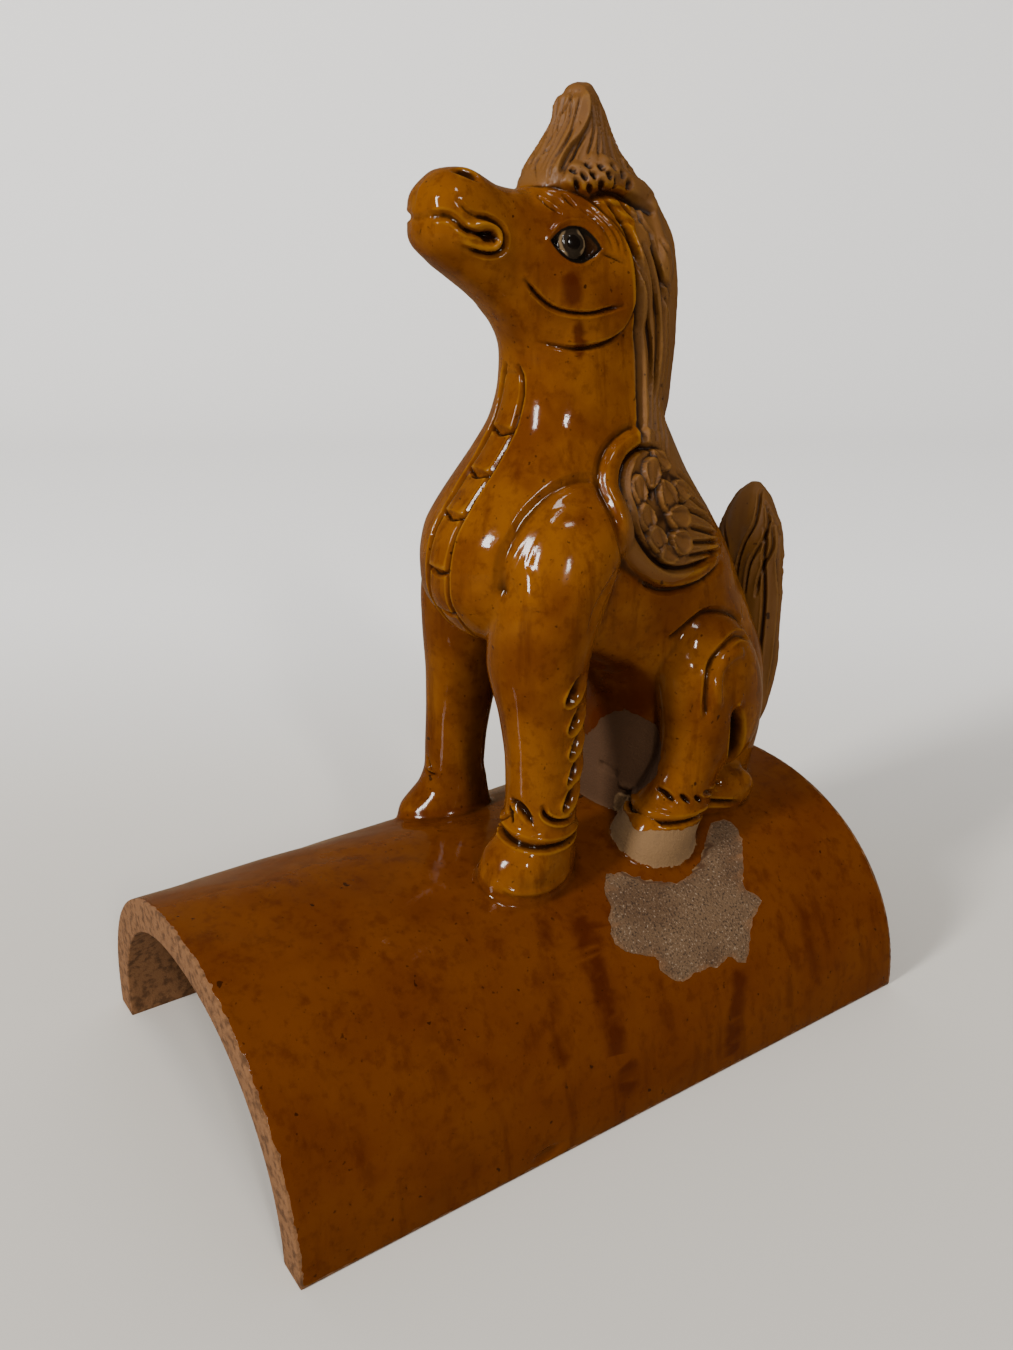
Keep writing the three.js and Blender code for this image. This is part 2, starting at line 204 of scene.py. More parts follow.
def rolled_tile():
    """Corners and faces of the bare tile."""
    outer = arch_line(TILE_HALF_WIDTH, CROWN)
    inner = arch_line(TILE_HALF_WIDTH - TILE_WALL, CROWN - TILE_WALL)[::-1]
    section = np.concatenate([outer, inner])
    count = len(section)
    corners = [(x, end * TILE_HALF_LENGTH, z) for end in (-1, 1) for x, z in section]
    faces = [(i, (i + 1) % count, count + (i + 1) % count, count + i) for i in range(count)]
    for first in (0, count):
        for i in range(ARCH_POINTS - 1):
            faces.append((first + i, first + i + 1, first + count - 2 - i, first + count - 1 - i))
    return np.array(corners), faces


clay.append(rolled_tile())

# Outline of the worn patch on the left flank, as seen from the side: [y, height over the crown].
WORN_PATCH = [
    (14.8, -5.7), (21.5, -8.2), (24.5, -9.4), (34.4, -11.6), (42.8, -10.4), (50, -7.9), (56.2, -5.8),
    (61, -4.6), (66.7, -4.8), (67.5, -6.9), (65, -9.1), (60.4, -11.8), (58.3, -14.4), (54.4, -16.7),
    (57.6, -18.5), (59.6, -21), (57.1, -22.4), (53.7, -23), (51, -26.2), (48.3, -29.9), (43.6, -34.8),
    (41.8, -33.5), (40.4, -30.3), (38, -30.3), (33.9, -31.7), (30.6, -30.4), (26, -30.5), (22.6, -30.6),
    (19, -31.3), (16.2, -29), (13.6, -26.8), (15.1, -23.5), (11.1, -22.1), (7.8, -21), (4.7, -20.8),
    (3.3, -18.6), (2.9, -15.6), (4.8, -12.6), (7.7, -11.1), (8.1, -9.1), (10.8, -7.1),
]
ARCH_RADIUS = 66


def round_arch(x, z):
    """Distance round the arch from its left foot."""
    return np.arctan2(z * TILE_HALF_WIDTH / CROWN, x) * ARCH_RADIUS


# Trunk and neck
# A deep round chest over a belly that falls back to the seat, thrown up in solid clay.
# A strip of overlapping plates is tooled down the front of the neck and chest.
FORWARD = np.array([0.0, -1.0, 0.0])
LEVEL = np.array([0.0, 0.0, 1.0])
LEG_FOOT = -9.2
RINGS = 96
SIDES = 96
LEAST_GAP = 1e-6
LEAST_LENGTH = 1e-9


def curve_through(points, steps):
    """A centripetal Catmull-Rom curve through points, at equal steps from point to point."""
    points = np.asarray(points, float)
    first = 2 * points[0] - points[1]
    last = 2 * points[-1] - points[-2]
    padded = np.vstack([first, points, last])
    place = np.linspace(0, len(points) - 1, steps + 1)
    span = np.minimum(place.astype(int), len(points) - 2)
    share = (place - span)[:, None]
    a, b, c, d = (padded[span + k] for k in range(4))
    gap_a, gap_b, gap_c = (
        np.maximum(np.linalg.norm(after - before, axis=1, keepdims=True), LEAST_GAP) ** 0.5
        for before, after in ((a, b), (b, c), (c, d))
    )
    start = ((b - a) / gap_a - (c - a) / (gap_a + gap_b) + (c - b) / gap_b) * gap_b
    end = ((c - b) / gap_b - (d - b) / (gap_b + gap_c) + (d - c) / gap_c) * gap_b
    square = -3 * b + 3 * c - 2 * start - end
    cube = 2 * b - 2 * c + start + end
    return b + start * share + square * share**2 + cube * share**3


def unit(vectors):
    return vectors / np.maximum(np.linalg.norm(vectors, axis=-1, keepdims=True), LEAST_LENGTH)


def turned_about_up(vectors, angles):
    c, s = np.cos(angles), np.sin(angles)
    x, y, z = vectors.T
    return np.stack([x * c - y * s, x * s + y * c, z], 1)


def loft(stations, up=None, power=2.0, splay=0.0, flutes=0, flute_depth=0.0, twist=0.0):
    """A closed form through stations [x, y, z, half width, half depth], added to the clay."""
    stations = np.asarray(stations, float)
    path = curve_through(stations[:, :3], RINGS)
    sizes = curve_through(stations[:, 3:], RINGS)
    share = np.linspace(0, 1, RINGS + 1)
    along = unit(np.gradient(path, axis=0))
    normal = along if up is None else np.sign(along @ up)[:, None] * up
    depth = unit(np.cross(normal, [1.0, 0, 0]))
    wide = unit(np.cross(depth, normal))
    depth = turned_about_up(depth, splay * share)
    wide = turned_about_up(wide, splay * share)
    angle = np.linspace(0, 2 * math.pi, SIDES, endpoint=False)
    c, s = np.cos(angle), np.sin(angle)
    reach = (np.abs(c) ** power + np.abs(s) ** power) ** (-1 / power)
    lock = 1 + flute_depth * np.cos(flutes * angle[None] + twist * share[:, None])
    across = sizes[:, :1] * c * reach * lock
    deep = sizes[:, 1:] * s * reach * lock
    rings = path[:, None] + wide[:, None] * across[..., None] + depth[:, None] * deep[..., None]
    corners = np.vstack([rings.reshape(-1, 3), path[0], path[-1]]) + [0, 0, CROWN]
    faces = []
    for i in range(RINGS):
        for j in range(SIDES):
            k = (j + 1) % SIDES
            faces.append((i * SIDES + j, i * SIDES + k, (i + 1) * SIDES + k, (i + 1) * SIDES + j))
    low, high = len(corners) - 2, len(corners) - 1
    for j in range(SIDES):
        k = (j + 1) % SIDES
        faces.append((k, j, low))
        faces.append((RINGS * SIDES + j, RINGS * SIDES + k, high))
    clay.append((corners, faces))


def levels(rows):
    """Stations of a form cut level: [z, front y, back y, half width]."""
    return [(0, (front + back) / 2, z, wide, (back - front) / 2) for z, front, back, wide in rows]


loft(
    levels([
        (LEG_FOOT, 33, 94, 20), (4, 32, 96, 23), (20, 33, 98, 25.5), (36, 32, 97, 27), (50, 24, 93.5, 28),
        (60, 6, 89, 28.5), (68, -15, 86, 29), (78, -22.5, 80.5, 30.5), (88, -23.5, 74, 31),
        (98, -21, 67, 30), (108, -14, 60, 27.5), (118, -6, 54.5, 23.5), (127, -0.5, 50.5, 20),
        (136, 2, 48, 18), (146, 2, 47, 17), (153, -1.5, 46, 16), (160, -7.5, 44, 14), (168, -10, 40, 11),
    ]),
    up=LEVEL,
    power=2.6,
)

# Tool work is drawn on the clay in one of four views: "side" is [y, z], "front" and "back" are [x, z], and
# "top" is [x, y]. It falls on the skin from outside, on both halves unless sides says otherwise. Glaze pools
# in a mark by its pool, from 0, clear, to 1, nearly black. A mark falls from start, which lies past whatever
# stands before it, and thins to the share ends at its two ends.
BOTH = (1, -1)
LEFT = (1,)
RIGHT = (-1,)
FAR_OUT = 400
strokes = []
domes = []
hoof_bands = []


def add_stroke(kind, view, points, width, height, lip=0, ends=0.3, sides=BOTH, pool=0, fade=0,
               start=FAR_OUT):
    """Notes one stroke of a tool, which is pressed into the skin once that is smooth."""
    strokes.append(dict(kind=kind, view=view, points=points, width=width, height=height, lip=lip, ends=ends,
                        sides=sides, pool=pool, fade=fade, start=start))


def cut(view, points, width, depth, lip=0.35, ends=0.35, pool=0.9, **more):
    """A groove pressed with a tool. It pushes up a lip on each side."""
    add_stroke("cut", view, points, width, depth, lip=lip, ends=ends, pool=pool, **more)


def roll(view, points, width, height, **more):
    """A thin roll of clay smoothed onto the skin."""
    add_stroke("roll", view, points, width, height, **more)


def edge(view, points, width, height, fade, pool=0.6, **more):
    """The edge of an overlapping layer, on the left of the stroke as drawn. It thins out over fade."""
    add_stroke("edge", view, points, width, height, fade=fade, pool=pool, **more)


def stain(points, width, strength, sides=LEFT):
    """A run of darker, redder glaze down a flank."""
    add_stroke("stain", "side", points, width, strength, ends=0.2, sides=sides)


def dome(view, centre, size, height, lean=0.0, soft=0.5, sides=BOTH, pool=0.0):
    """A lump pressed on, or a pit where height is less than 0."""
    domes.append(dict(view=view, centre=centre, size=size, height=height, lean=lean, soft=soft, sides=sides,
                      pool=pool, petal=False))


def petal(centre, size, height, lean):
    """A dished petal of clay with a thin rim, laid over the ones before it."""
    domes.append(dict(view="side", centre=centre, size=size, height=height, lean=lean, soft=0.12,
                      sides=BOTH, pool=0, petal=True))


def band(centre, reach, level, tilt, width, depth, pool, bead):
    """A groove round a hoof with a bead of clay over it. The plane falls by tilt along x and y."""
    hoof_bands.append(dict(centre=centre, reach=reach, level=level, tilt=tilt, width=width, depth=depth,
                           pool=pool, bead=bead))


PLATE_HALF_WIDTH = 5.3
PLATE_CUTS = [140, 124.6, 113.6, 102.6, 87.4, 74.8, 66]
PLATE_SINK = 0.9
PLATE_CROWN = 1.6
cut("front", [(3.2, 141.5), (4.9, 138), (5.3, 128), (5.3, 116), (5.3, 104), (5.4, 92), (5.4, 81),
              (5.2, 70), (5.0, 65)],
    1.0, 1.6, lip=0.15, ends=0.7, pool=0.7)
for plate_z in PLATE_CUTS[1:-1]:
    cut("front", [(-5, plate_z + 0.5), (0, plate_z - 0.9), (5, plate_z + 0.5)], 0.7, 1.0, lip=0.15,
        sides=LEFT, ends=0.6)


# Head
# Round cheeks and a long muzzle that lifts to a bulbous nose, modelled as one lump with the neck.
# Mouth, nostrils, smile line and the edge of the cheek are cut with a pointed tool.
def slices(rows):
    """Stations of a form cut upright across Y: [y, lowest z, highest z, half width]."""
    return [(0, y, (low + high) / 2, wide, (high - low) / 2) for y, low, high, wide in rows]


loft(
    slices([
        (51, 166, 180, 8), (45, 152, 186, 14.5), (35, 142, 188, 18), (24, 138.5, 188.5, 19),
        (13, 140, 188, 18), (4, 148, 187, 15), (-5, 157, 188.5, 12.8), (-13, 163, 192, 12.3),
        (-20, 167.5, 191.5, 11), (-25, 171.5, 187.5, 7.5), (-27, 177, 182, 2),
    ]),
    up=FORWARD,
    power=2.3,
)

# Mouth: a crease between the lips into a deep corner, with a pale loop and a dark groove round the corner.
cut("side", [(-25.4, 180.4), (-24, 180.6), (-22.2, 179.9), (-20.3, 178.2), (-18.4, 176.9)], 1.2, 1.2,
    lip=0.25, ends=0.5, pool=0.5)
cut("front", [(-8.2, 180.2), (-5, 180.4), (0, 179.8), (5, 180.4), (8.2, 180.2)], 1.3, 0.6, lip=0,
    sides=LEFT, ends=0.7, pool=0.4)
cut("side", [(-20, 177.6), (-18, 176.7), (-15.2, 176), (-12, 175.6)], 0.9, 1.9, lip=0.3, ends=0.4, pool=0.9)
dome("side", (-12.7, 175.4), (2.5, 1.5), -2.4, lean=-0.2, soft=0.8, pool=1.0)
roll("side", [(-18, 178), (-14.2, 178.4), (-10.8, 177.4), (-9.8, 175), (-11, 173), (-14, 172.9),
              (-17.6, 173.9), (-20.6, 175)], 0.9, 1.0, ends=0.3)
cut("side", [(-20.6, 183.6), (-18.6, 181.4), (-16, 180.2)], 0.6, 0.8, lip=0.4, pool=0.5)
cut("side", [(-16.8, 180.3), (-14.6, 180.1), (-11.4, 179.2), (-8.7, 177.3), (-8, 174.7), (-8.9, 172.2),
             (-11.8, 171.2), (-15.1, 171.7), (-18.8, 173.1)], 0.9, 1.5, lip=0.2, ends=0.2, pool=0.8)
dome("side", (-21.4, 174.6), (6, 3.2), 0.8, lean=-0.35, soft=0.9)
dome("side", (-20.4, 184.6), (6.5, 3.6), 0.5, lean=-0.2, soft=0.9)

# Nostrils and the cuts over the brow.
dome("top", (6.4, -15.4), (3.2, 1.4), -2.8, lean=1.03, soft=0.8, pool=0.95)
roll("top", [(4.2, -18), (4.7, -15.6), (6, -13)], 0.8, 0.5)
for brow in ([(5.3, 184.4), (6.6, 182.7), (8.6, 181.3)], [(11.8, 184.8), (12.4, 183.5), (13.6, 182.4)]):
    cut("side", brow, 0.7, 1.1, lip=0.3, pool=0.6)

# Smile line, and the edge of the cheek from the forehead over the temple and round the jaw.
cut("side", [(-1.8, 164.5), (1.6, 160.7), (6, 157.5), (10.7, 156.2), (16.7, 156), (20, 156.6),
             (25.4, 157.6)],
    0.75, 1.4, lip=0.18, ends=0.3, pool=0.95)
CHEEK_EDGE = [
    (7.5, 148.3), (11.8, 147.5), (16.8, 147.9), (23.4, 149.4), (28, 152.6), (30.2, 159.2), (29.4, 166.5),
    (27.6, 172.5), (24.6, 177.4), (20.8, 181.6), (16.7, 184.8), (11.4, 186.4), (6.5, 187.2), (1.2, 186.6),
]
edge("side", CHEEK_EDGE, 1.2, 0.9, 4.5, ends=0.4, pool=0.7)
cut("side", [(4, 148.6), (9, 147.4), (16.8, 147.2), (23.6, 148.6), (28.6, 151.4)], 0.8, 0.8, lip=0.1,
    pool=0.5)

# Eye: an almond opening with a ball in it, and creases behind it.
EYE = (11.8, 173.4)
EYE_HALF_LENGTH = 7.0
EYE_HALF_HEIGHT = 4.3
EYE_LEAN = -0.15
EYE_SINK = 1.5
BALL = (10.7, 173.9)
BALL_RADIUS = 4.2
BALL_RISE = 2.0
IRIS_RADIUS = 2.3
IRIS_GROOVE = 0.25
LID_RIM = 0.25
cut("side", [(19, 171), (22.2, 169.9), (26, 168.2)], 0.5, 0.8, lip=0.2, pool=0.7)
for temple in (
    [(14.8, 182.2), (18.4, 179.2), (21, 175.6), (22.4, 172)],
    [(17.6, 182.6), (21.2, 178.8), (23.6, 174.8), (24.6, 171.6)],
    [(20.6, 181.4), (23.4, 177.9), (25.6, 174), (26.6, 170.6)],
):
    cut("side", temple, 0.5, 0.55, lip=0.25, pool=0.4)
roll("side", [(4.2, 175.3), (7.8, 178.4), (11.4, 179.4), (15.6, 178.8), (18.8, 176.2), (20.4, 172.4)],
     0.8, 0.45)
for run, run_width, run_strength in (
    ([(9.6, 168), (10.2, 163), (11.2, 157)], 2.6, 1.0),
    ([(12.4, 155.6), (13, 151), (13.6, 148), (14, 143)], 1.6, 1.0),
    ([(19.2, 168), (19, 161)], 1.3, 0.4),
    ([(4, 147), (5, 138), (6, 128)], 1.2, 0.4),
    ([(-6.5, 171), (-5.4, 166), (-3.6, 161)], 1.5, 0.4),
):
    stain(run, run_width, run_strength)


# Hair
# A flame of a forelock, a mane of long hanging locks and an upright tail, each a pad of clay combed with a
# point. A pitted scroll of curls sits along the foot of the forelock.
loft(
    [
        (0, 26, 176, 13, 20), (0, 26, 186, 13.5, 20.5), (0, 25, 191, 12, 16.5), (0, 24.5, 197.5, 9, 11.2),
        (0, 24.7, 204, 6.8, 7.8), (0, 24, 210, 5.2, 5.5), (0, 24.8, 213, 2.8, 2.8),
        (0, 25, HORSE_HEIGHT, 1.2, 1.4),
    ],
    up=LEVEL, flutes=7, flute_depth=0.03, twist=1.2,
)
loft(
    [
        (0, 40, 189, 8, 4), (0, 40.5, 182, 13, 8), (0, 41, 173, 16.5, 11.5), (0, 41, 160, 17, 13.5),
        (0, 41, 146, 16.5, 13.5), (0, 42, 131, 14.5, 12), (0, 43, 119, 11, 9), (0, 45, 112, 3, 3),
    ],
    up=LEVEL, flutes=8, flute_depth=0.05, twist=0.4,
)
loft(
    [
        (0, 90, 6, 9, 6), (0, 98, 22, 14, 8), (0, 100, 42, 15, 7.8), (0, 100.5, 64, 14, 7.6),
        (0, 100.5, 80, 12.5, 7.4), (0, 100.4, 88, 9.5, 6.4), (0, 100.8, 94.5, 5.5, 4.2),
        (0, 101.2, 98, 1.5, 1.5),
    ],
    flutes=7, flute_depth=0.03, twist=1.5,
)

# Forelock: a wave with a thin crest, and strands on both sides of it.
WAVE_CREST = [(10.9, 188.8), (13.2, 193), (16.4, 197), (20, 200.4), (22.7, 204.4), (23.5, 208), (23.2, 212)]
edge("side", WAVE_CREST, 0.9, 1.2, 4.0, ends=0.5, pool=0.5)
roll("side", WAVE_CREST, 0.7, 0.5, ends=0.4)
for strand in (
    [(0, 187), (0, 193), (0.2, 199), (1, 206), (1.4, 211)],
    [(2.4, 187), (2.2, 193), (2.3, 199), (2.6, 206)],
    [(4.8, 187), (4.2, 193), (4.1, 199), (4, 206), (3, 211)],
    [(7.2, 187), (6.4, 192), (6, 197), (5.4, 203)],
    [(9.6, 187), (8.6, 191.5), (7.8, 196)],
):
    cut("front", strand, 0.5, 0.65, lip=0.25, pool=0.55)
for strand in (
    [(8.2, 189.3), (10.6, 193.8), (14, 197.7), (16.3, 202.1), (18.3, 207.3), (20.1, 211.3)],
    [(9.3, 188.9), (11.8, 193.2), (15.2, 197.2), (18.2, 201.6), (20.4, 206.8), (21.8, 211)],
    [(6.6, 190), (9, 194.6), (12, 199), (14.6, 203.6), (17, 208)],
):
    cut("side", strand, 0.45, 0.55, lip=0.25, pool=0.6)
for strand in (
    [(16, 193.6), (18.4, 197), (20.4, 199.4)], [(20, 194.6), (22.6, 199), (24.2, 203), (24.8, 208)],
    [(22.6, 194), (24.6, 198.5), (25.7, 203.5), (26, 209)],
    [(25.4, 194), (26.6, 199), (27, 204), (27, 208)],
    [(29, 192), (29.2, 197), (28.8, 202.7)], [(33, 190), (32, 196), (30.4, 201.5)],
    [(37, 188), (35.6, 193)],
):
    cut("side", strand, 0.55, 0.8, lip=0.3, pool=0.55)
for strand_x in (-7, -3.5, 0, 3.5, 7):
    cut("back", [(strand_x * 1.3, 190), (strand_x, 198), (strand_x * 0.6, 209)], 0.6, 0.7, lip=0.25,
        sides=LEFT, pool=0.5)
dome("side", (20.4, 210.6), (1.6, 1.4), -0.7, soft=0.9)
dome("side", (24.5, 213.2), (1.3, 0.7), -0.7, soft=0.9)

# Curls: a lumpy pad in front, a thick scroll behind it, pits drilled in both and a deep shadow under them.
for curl, curl_size in (
    ((13.8, 188.8), (2.6, 2.4)), ((17, 191.2), (2.8, 2.4)), ((18, 188), (2.4, 2.2)),
    ((21.2, 190), (2.8, 2.6)), ((24.6, 189.4), (2.6, 2.4)),
):
    dome("side", curl, curl_size, 1.9, soft=0.8)
roll("side", [(21.6, 193.4), (25.4, 192.6), (29.4, 190.4), (33.4, 188.2), (37.6, 186.4), (41, 184)], 2.9,
     2.0, ends=0.5)
for pit in (
    (15.2, 190.8), (15.4, 187.8), (17.5, 189.4), (19.5, 192.3), (19.9, 189.7), (18.6, 186.9),
    (21.9, 187.7), (22.3, 191.5), (23.8, 189.5), (25.6, 191.4), (26, 188.2), (28.7, 190), (30.8, 187.8),
):
    dome("side", pit, (0.8, 1.1), -2.0, lean=0.5, soft=0.9, pool=0.95)
cut("side", [(20.4, 185.4), (24, 186), (28.6, 185.4), (33.4, 183.6), (38.4, 181.4)], 1.6, 2.2, lip=0.2,
    ends=0.5, pool=0.85)
for swirl in (
    [(23.5, 184.3), (26.5, 180.6), (30, 178.6)], [(28.4, 184), (30.6, 181), (33.4, 179)],
    [(33.6, 182.3), (34.6, 178.8), (37.4, 175.6)],
):
    cut("side", swirl, 0.8, 1.2, lip=0.4, pool=0.6)

# Mane: a dark gap behind the cheek, then long locks, with a loose clump behind the poll.
# The dark in this gap is pooled glaze and painted shade in front of the mane.
cut("side", [(25.6, 181.6), (28.8, 176), (30.4, 168), (31.6, 159), (33.4, 149), (33.6, 138), (32.8, 127),
             (31, 119)],
    1.5, 2.2, lip=0.2, ends=0.3, pool=0.8)
for lock in (
    [(29.6, 175), (32.6, 166), (35.8, 157.4), (37.9, 147.9), (38.5, 136.9), (35.6, 124)],
    [(33.7, 173), (37.6, 162.6), (39.5, 153.3), (40.4, 142.4), (40.3, 131.3), (37, 121)],
    [(36.8, 172), (40.4, 162.6), (42, 152.6), (43.1, 140.8), (43, 130), (39.4, 119)],
    [(41.6, 160.6), (45.2, 152.3), (46.7, 141.8), (46, 130), (41.4, 117)],
):
    cut("side", lock, 0.8, 1.4, lip=0.5, ends=0.4, pool=0.6)
roll("side", [(30.6, 174), (32.2, 164), (34, 155), (35.6, 146), (35.6, 136), (33.8, 124)], 1.7, 0.9)
for lock_x in (-12, -8, -4, 0, 4, 8, 12):
    cut("back", [(lock_x * 0.8, 184), (lock_x + 0.8, 168), (lock_x, 150), (lock_x * 0.9 - 0.6, 134),
                 (lock_x * 0.5, 118)],
        0.8, 1.2, lip=0.4, sides=LEFT, pool=0.6)
dome("side", (43.6, 168.4), (4.4, 6.4), 0.9, soft=0.4)
cut("side", [(40.4, 174), (42.6, 169), (43, 163.6)], 0.6, 0.9, lip=0.3, pool=0.6)
cut("side", [(36.8, 175.6), (38.6, 169), (41, 163.4), (46.6, 160.4)], 0.8, 1.3, lip=0.3, pool=0.7)

# Tail strands: the front falls from past the back of the trunk.
TAIL_START = 88
for strand in (
    [(3.4, 97), (5.6, 92), (6.6, 86), (4, 78.6), (2.2, 72), (1.4, 62)],
    [(7.4, 92), (9.8, 86), (9.4, 79.4), (6.6, 72), (5.6, 62)],
    [(10.6, 86), (12.2, 79), (10.4, 71), (9.6, 62)],
):
    cut("front", strand, 0.7, 1.2, lip=0.5, ends=0.4, pool=0.5, start=TAIL_START)
for strand in (
    [(3.2, 95), (5, 89), (4.6, 82), (2, 74), (0.4, 64), (0, 50), (0.6, 34), (1, 18)],
    [(7.6, 89), (8.6, 80), (7, 72), (4.6, 62), (4, 48), (4.4, 32), (4, 18)],
    [(10.8, 84), (11.4, 74), (9.8, 64), (8, 52), (8.2, 38), (7.6, 22)],
    [(13, 66), (12, 54), (11.6, 42), (11, 26)],
):
    cut("back", strand, 0.8, 1.2, lip=0.4, ends=0.4, pool=0.6)
for strand in (
    [(99, 92), (101.4, 84), (100, 74), (101, 60), (100, 44), (99, 28)],
    [(102.8, 88), (104, 78), (103.4, 64), (104.2, 50), (103, 32)],
    [(97, 84), (96.4, 74), (96.6, 62), (96, 46), (94.6, 30)],
):
    cut("side", strand, 0.8, 1.2, lip=0.4, pool=0.7)


# Saddle plate
# A raised oval pad on each flank, with a rolled rim, veined petals laid over each other and creases behind.
SADDLE_PETALS = (
    ((37, 115.6), (4.2, 2.4), -0.9), ((26.2, 108.6), (4.6, 2.7), 1.5), ((42.6, 106.4), (4.0, 3.0), -0.7),
    ((32, 112.6), (4.6, 3.2), 1.2), ((27.4, 101), (4.8, 3.0), 1.9), ((36.2, 105.6), (5.4, 3.6), -1.2),
    ((30.6, 94.6), (5.2, 3.1), 2.1), ((39.6, 99.4), (5.0, 3.8), -0.4), ((34.4, 89.8), (4.0, 2.8), 2.6),
    ((39.6, 92.6), (4.8, 3.7), -0.6),
)
PETAL_HEIGHT = 1.6
PETAL_RIBS = 9
PETAL_RIB_DEPTH = 0.28
PETAL_STEP = 0.09
roll("side", [(56, 82.6), (45, 81.4), (36, 82.4), (29.6, 85.2), (23.7, 90.4), (19.4, 97.1), (17, 104.5),
              (16.8, 110.9), (19, 116.4), (24, 120.6), (31.7, 122.5), (38, 120.8)], 2.8, 1.5, ends=0.5)
cut("side", [(60, 82), (52, 79.4), (43, 78.4), (33.5, 79.2), (26, 82.8)], 1.5, 1.3, lip=0, ends=0.4,
    pool=0.75)
cut("side", [(27.5, 82.2), (19, 89), (14.3, 97.6), (13, 107.6), (14.6, 115.4), (18.2, 120.2), (25, 124),
             (32, 125.4)],
    1.9, 0.9, lip=0, ends=0.3, pool=0.2)
cut("side", [(57, 85.4), (47, 84.4), (38, 85), (31.4, 88), (25.8, 94), (22.2, 101), (20.6, 108),
             (21.8, 113.4), (25.4, 117.6), (31, 119.6), (37, 118.4)],
    1.1, 1.5, lip=0.2, ends=0.4, pool=0.85)
roll("side", [(36, 87.6), (30.6, 89.6), (26.5, 94.6), (23.9, 100.6), (22.9, 107), (24.3, 112.8),
              (28, 117)], 0.6, 0.8)
for petal_order, (petal_place, petal_size, petal_lean) in enumerate(SADDLE_PETALS):
    petal(petal_place, petal_size, PETAL_HEIGHT + PETAL_STEP * petal_order, petal_lean)
dome("side", (30.4, 107.2), (0.8, 1.6), -1.8, soft=0.9, pool=1.0)
for crease in (
    [(44.6, 111), (49, 107.4), (53.6, 103)], [(45.2, 105.4), (51, 101.6), (57, 97)],
    [(45, 101), (52.6, 97.6), (60, 92.8)], [(45.6, 95.8), (52.6, 93.4), (60.4, 90.4)],
    [(44.4, 91.6), (52.3, 90.2), (61, 88.6)], [(43.6, 87.8), (51.9, 87), (60.4, 86)],
):
    cut("side", crease, 0.9, 1.3, lip=0.7, ends=0.3, pool=0.6)


# Forelegs
# Straight legs under high shoulders, with tooled tufts of hair behind and flared hooves luted to the tile.
# The right one is slimmer and stands wider.
SHANK_TOP = 90
HOOF_SPLAY = 0.4
TOE_THINNED = 2.2
TOE_TOP = 16
TOE_FOOT = -4
TOE_FADE = 8
TUFT_SHIFT = -1.4
FORELEG = (
    (15, 17, 112, 10, 12), (20.5, 11, 103, 13, 18), (23.5, 4, 90, 14, 17), (22.5, -1.5, 76, 15.5, 16),
    (21, -3.5, 62, 15, 14.5), (21.8, -2.8, 48, 12.3, 13), (22.5, -2.5, 34, 10.8, 12),
    (22.5, -3, 22, 10.5, 11.3), (22.5, -4, 13, 10.5, 12), (22.3, -6, 6, 11.5, 15.4),
    (22, -7.7, -1, 12.4, 18.1), (22, -7.7, LEG_FOOT, 12.4, 18.1),
)
for side, slimmer, wider, back in ((1, 0, 0, 0), (-1, 0.12, 5, 4.5)):
    shaped = []
    for x, y, z, wide, deep in FORELEG:
        low = min(1, max(0, (SHANK_TOP - z) / SHANK_TOP))
        low = low * low * (3 - 2 * low)
        thin = 1 - slimmer * low
        toe = 0
        if side < 0:
            under_top = min(1, max(0, (TOE_TOP - z) / TOE_FADE))
            over_foot = min(1, max(0, (z - TOE_FOOT) / TOE_FADE))
            toe = TOE_THINNED * under_top * over_foot
        placed = (side * (x + wider * low), y + back * (1 - low) + toe, z)
        shaped.append((*placed, wide * thin, deep * thin - toe))
    loft(shaped, up=LEVEL, splay=side * HOOF_SPLAY)

# Shoulder: a soft groove with a rounded ridge inside it, and the crease behind the elbow.
cut("side", [(14, 112.8), (7.7, 113.2), (0.5, 110.9), (-6.6, 105.9), (-11.4, 100.3), (-14.8, 94.5),
             (-15.8, 88), (-15.6, 83)], 2.4, 1.25, lip=0.1, ends=0.05, pool=0.22)
roll("side", [(13, 109.6), (6, 109.9), (-1.2, 107.1), (-6.6, 102.6), (-10.4, 97.3), (-12.4, 92),
              (-13, 86), (-12.6, 81)],
     3.2, 0.55, ends=0.05)
cut("side", [(13.5, 90), (9, 86.2), (5.7, 83.4), (3, 79), (1.9, 73.2)], 1.6, 0.6, lip=0.1, pool=0.2,
    ends=0.05)

# Tufts behind the leg: teardrop hollows, each with a hooked lip.
TUFTS = ((0.4, 57), (2.2, 47.6), (3.2, 39.4), (2.8, 31), (1.4, 22.8))
for tuft_y, tuft_z in TUFTS:
    dome("side", (tuft_y + TUFT_SHIFT, tuft_z), (4.4, 2.0), -3.4, lean=0.98, soft=0.6, pool=1.0)
    roll("side", [(tuft_y - 2.6, tuft_z + 2.2), (tuft_y - 5, tuft_z - 1.6), (tuft_y - 3.6, tuft_z - 4.2),
                  (tuft_y + 0.2, tuft_z - 3.4), (tuft_y + 2.4, tuft_z - 0.6), (tuft_y + 4, tuft_z + 3)],
         1.0, 0.7)

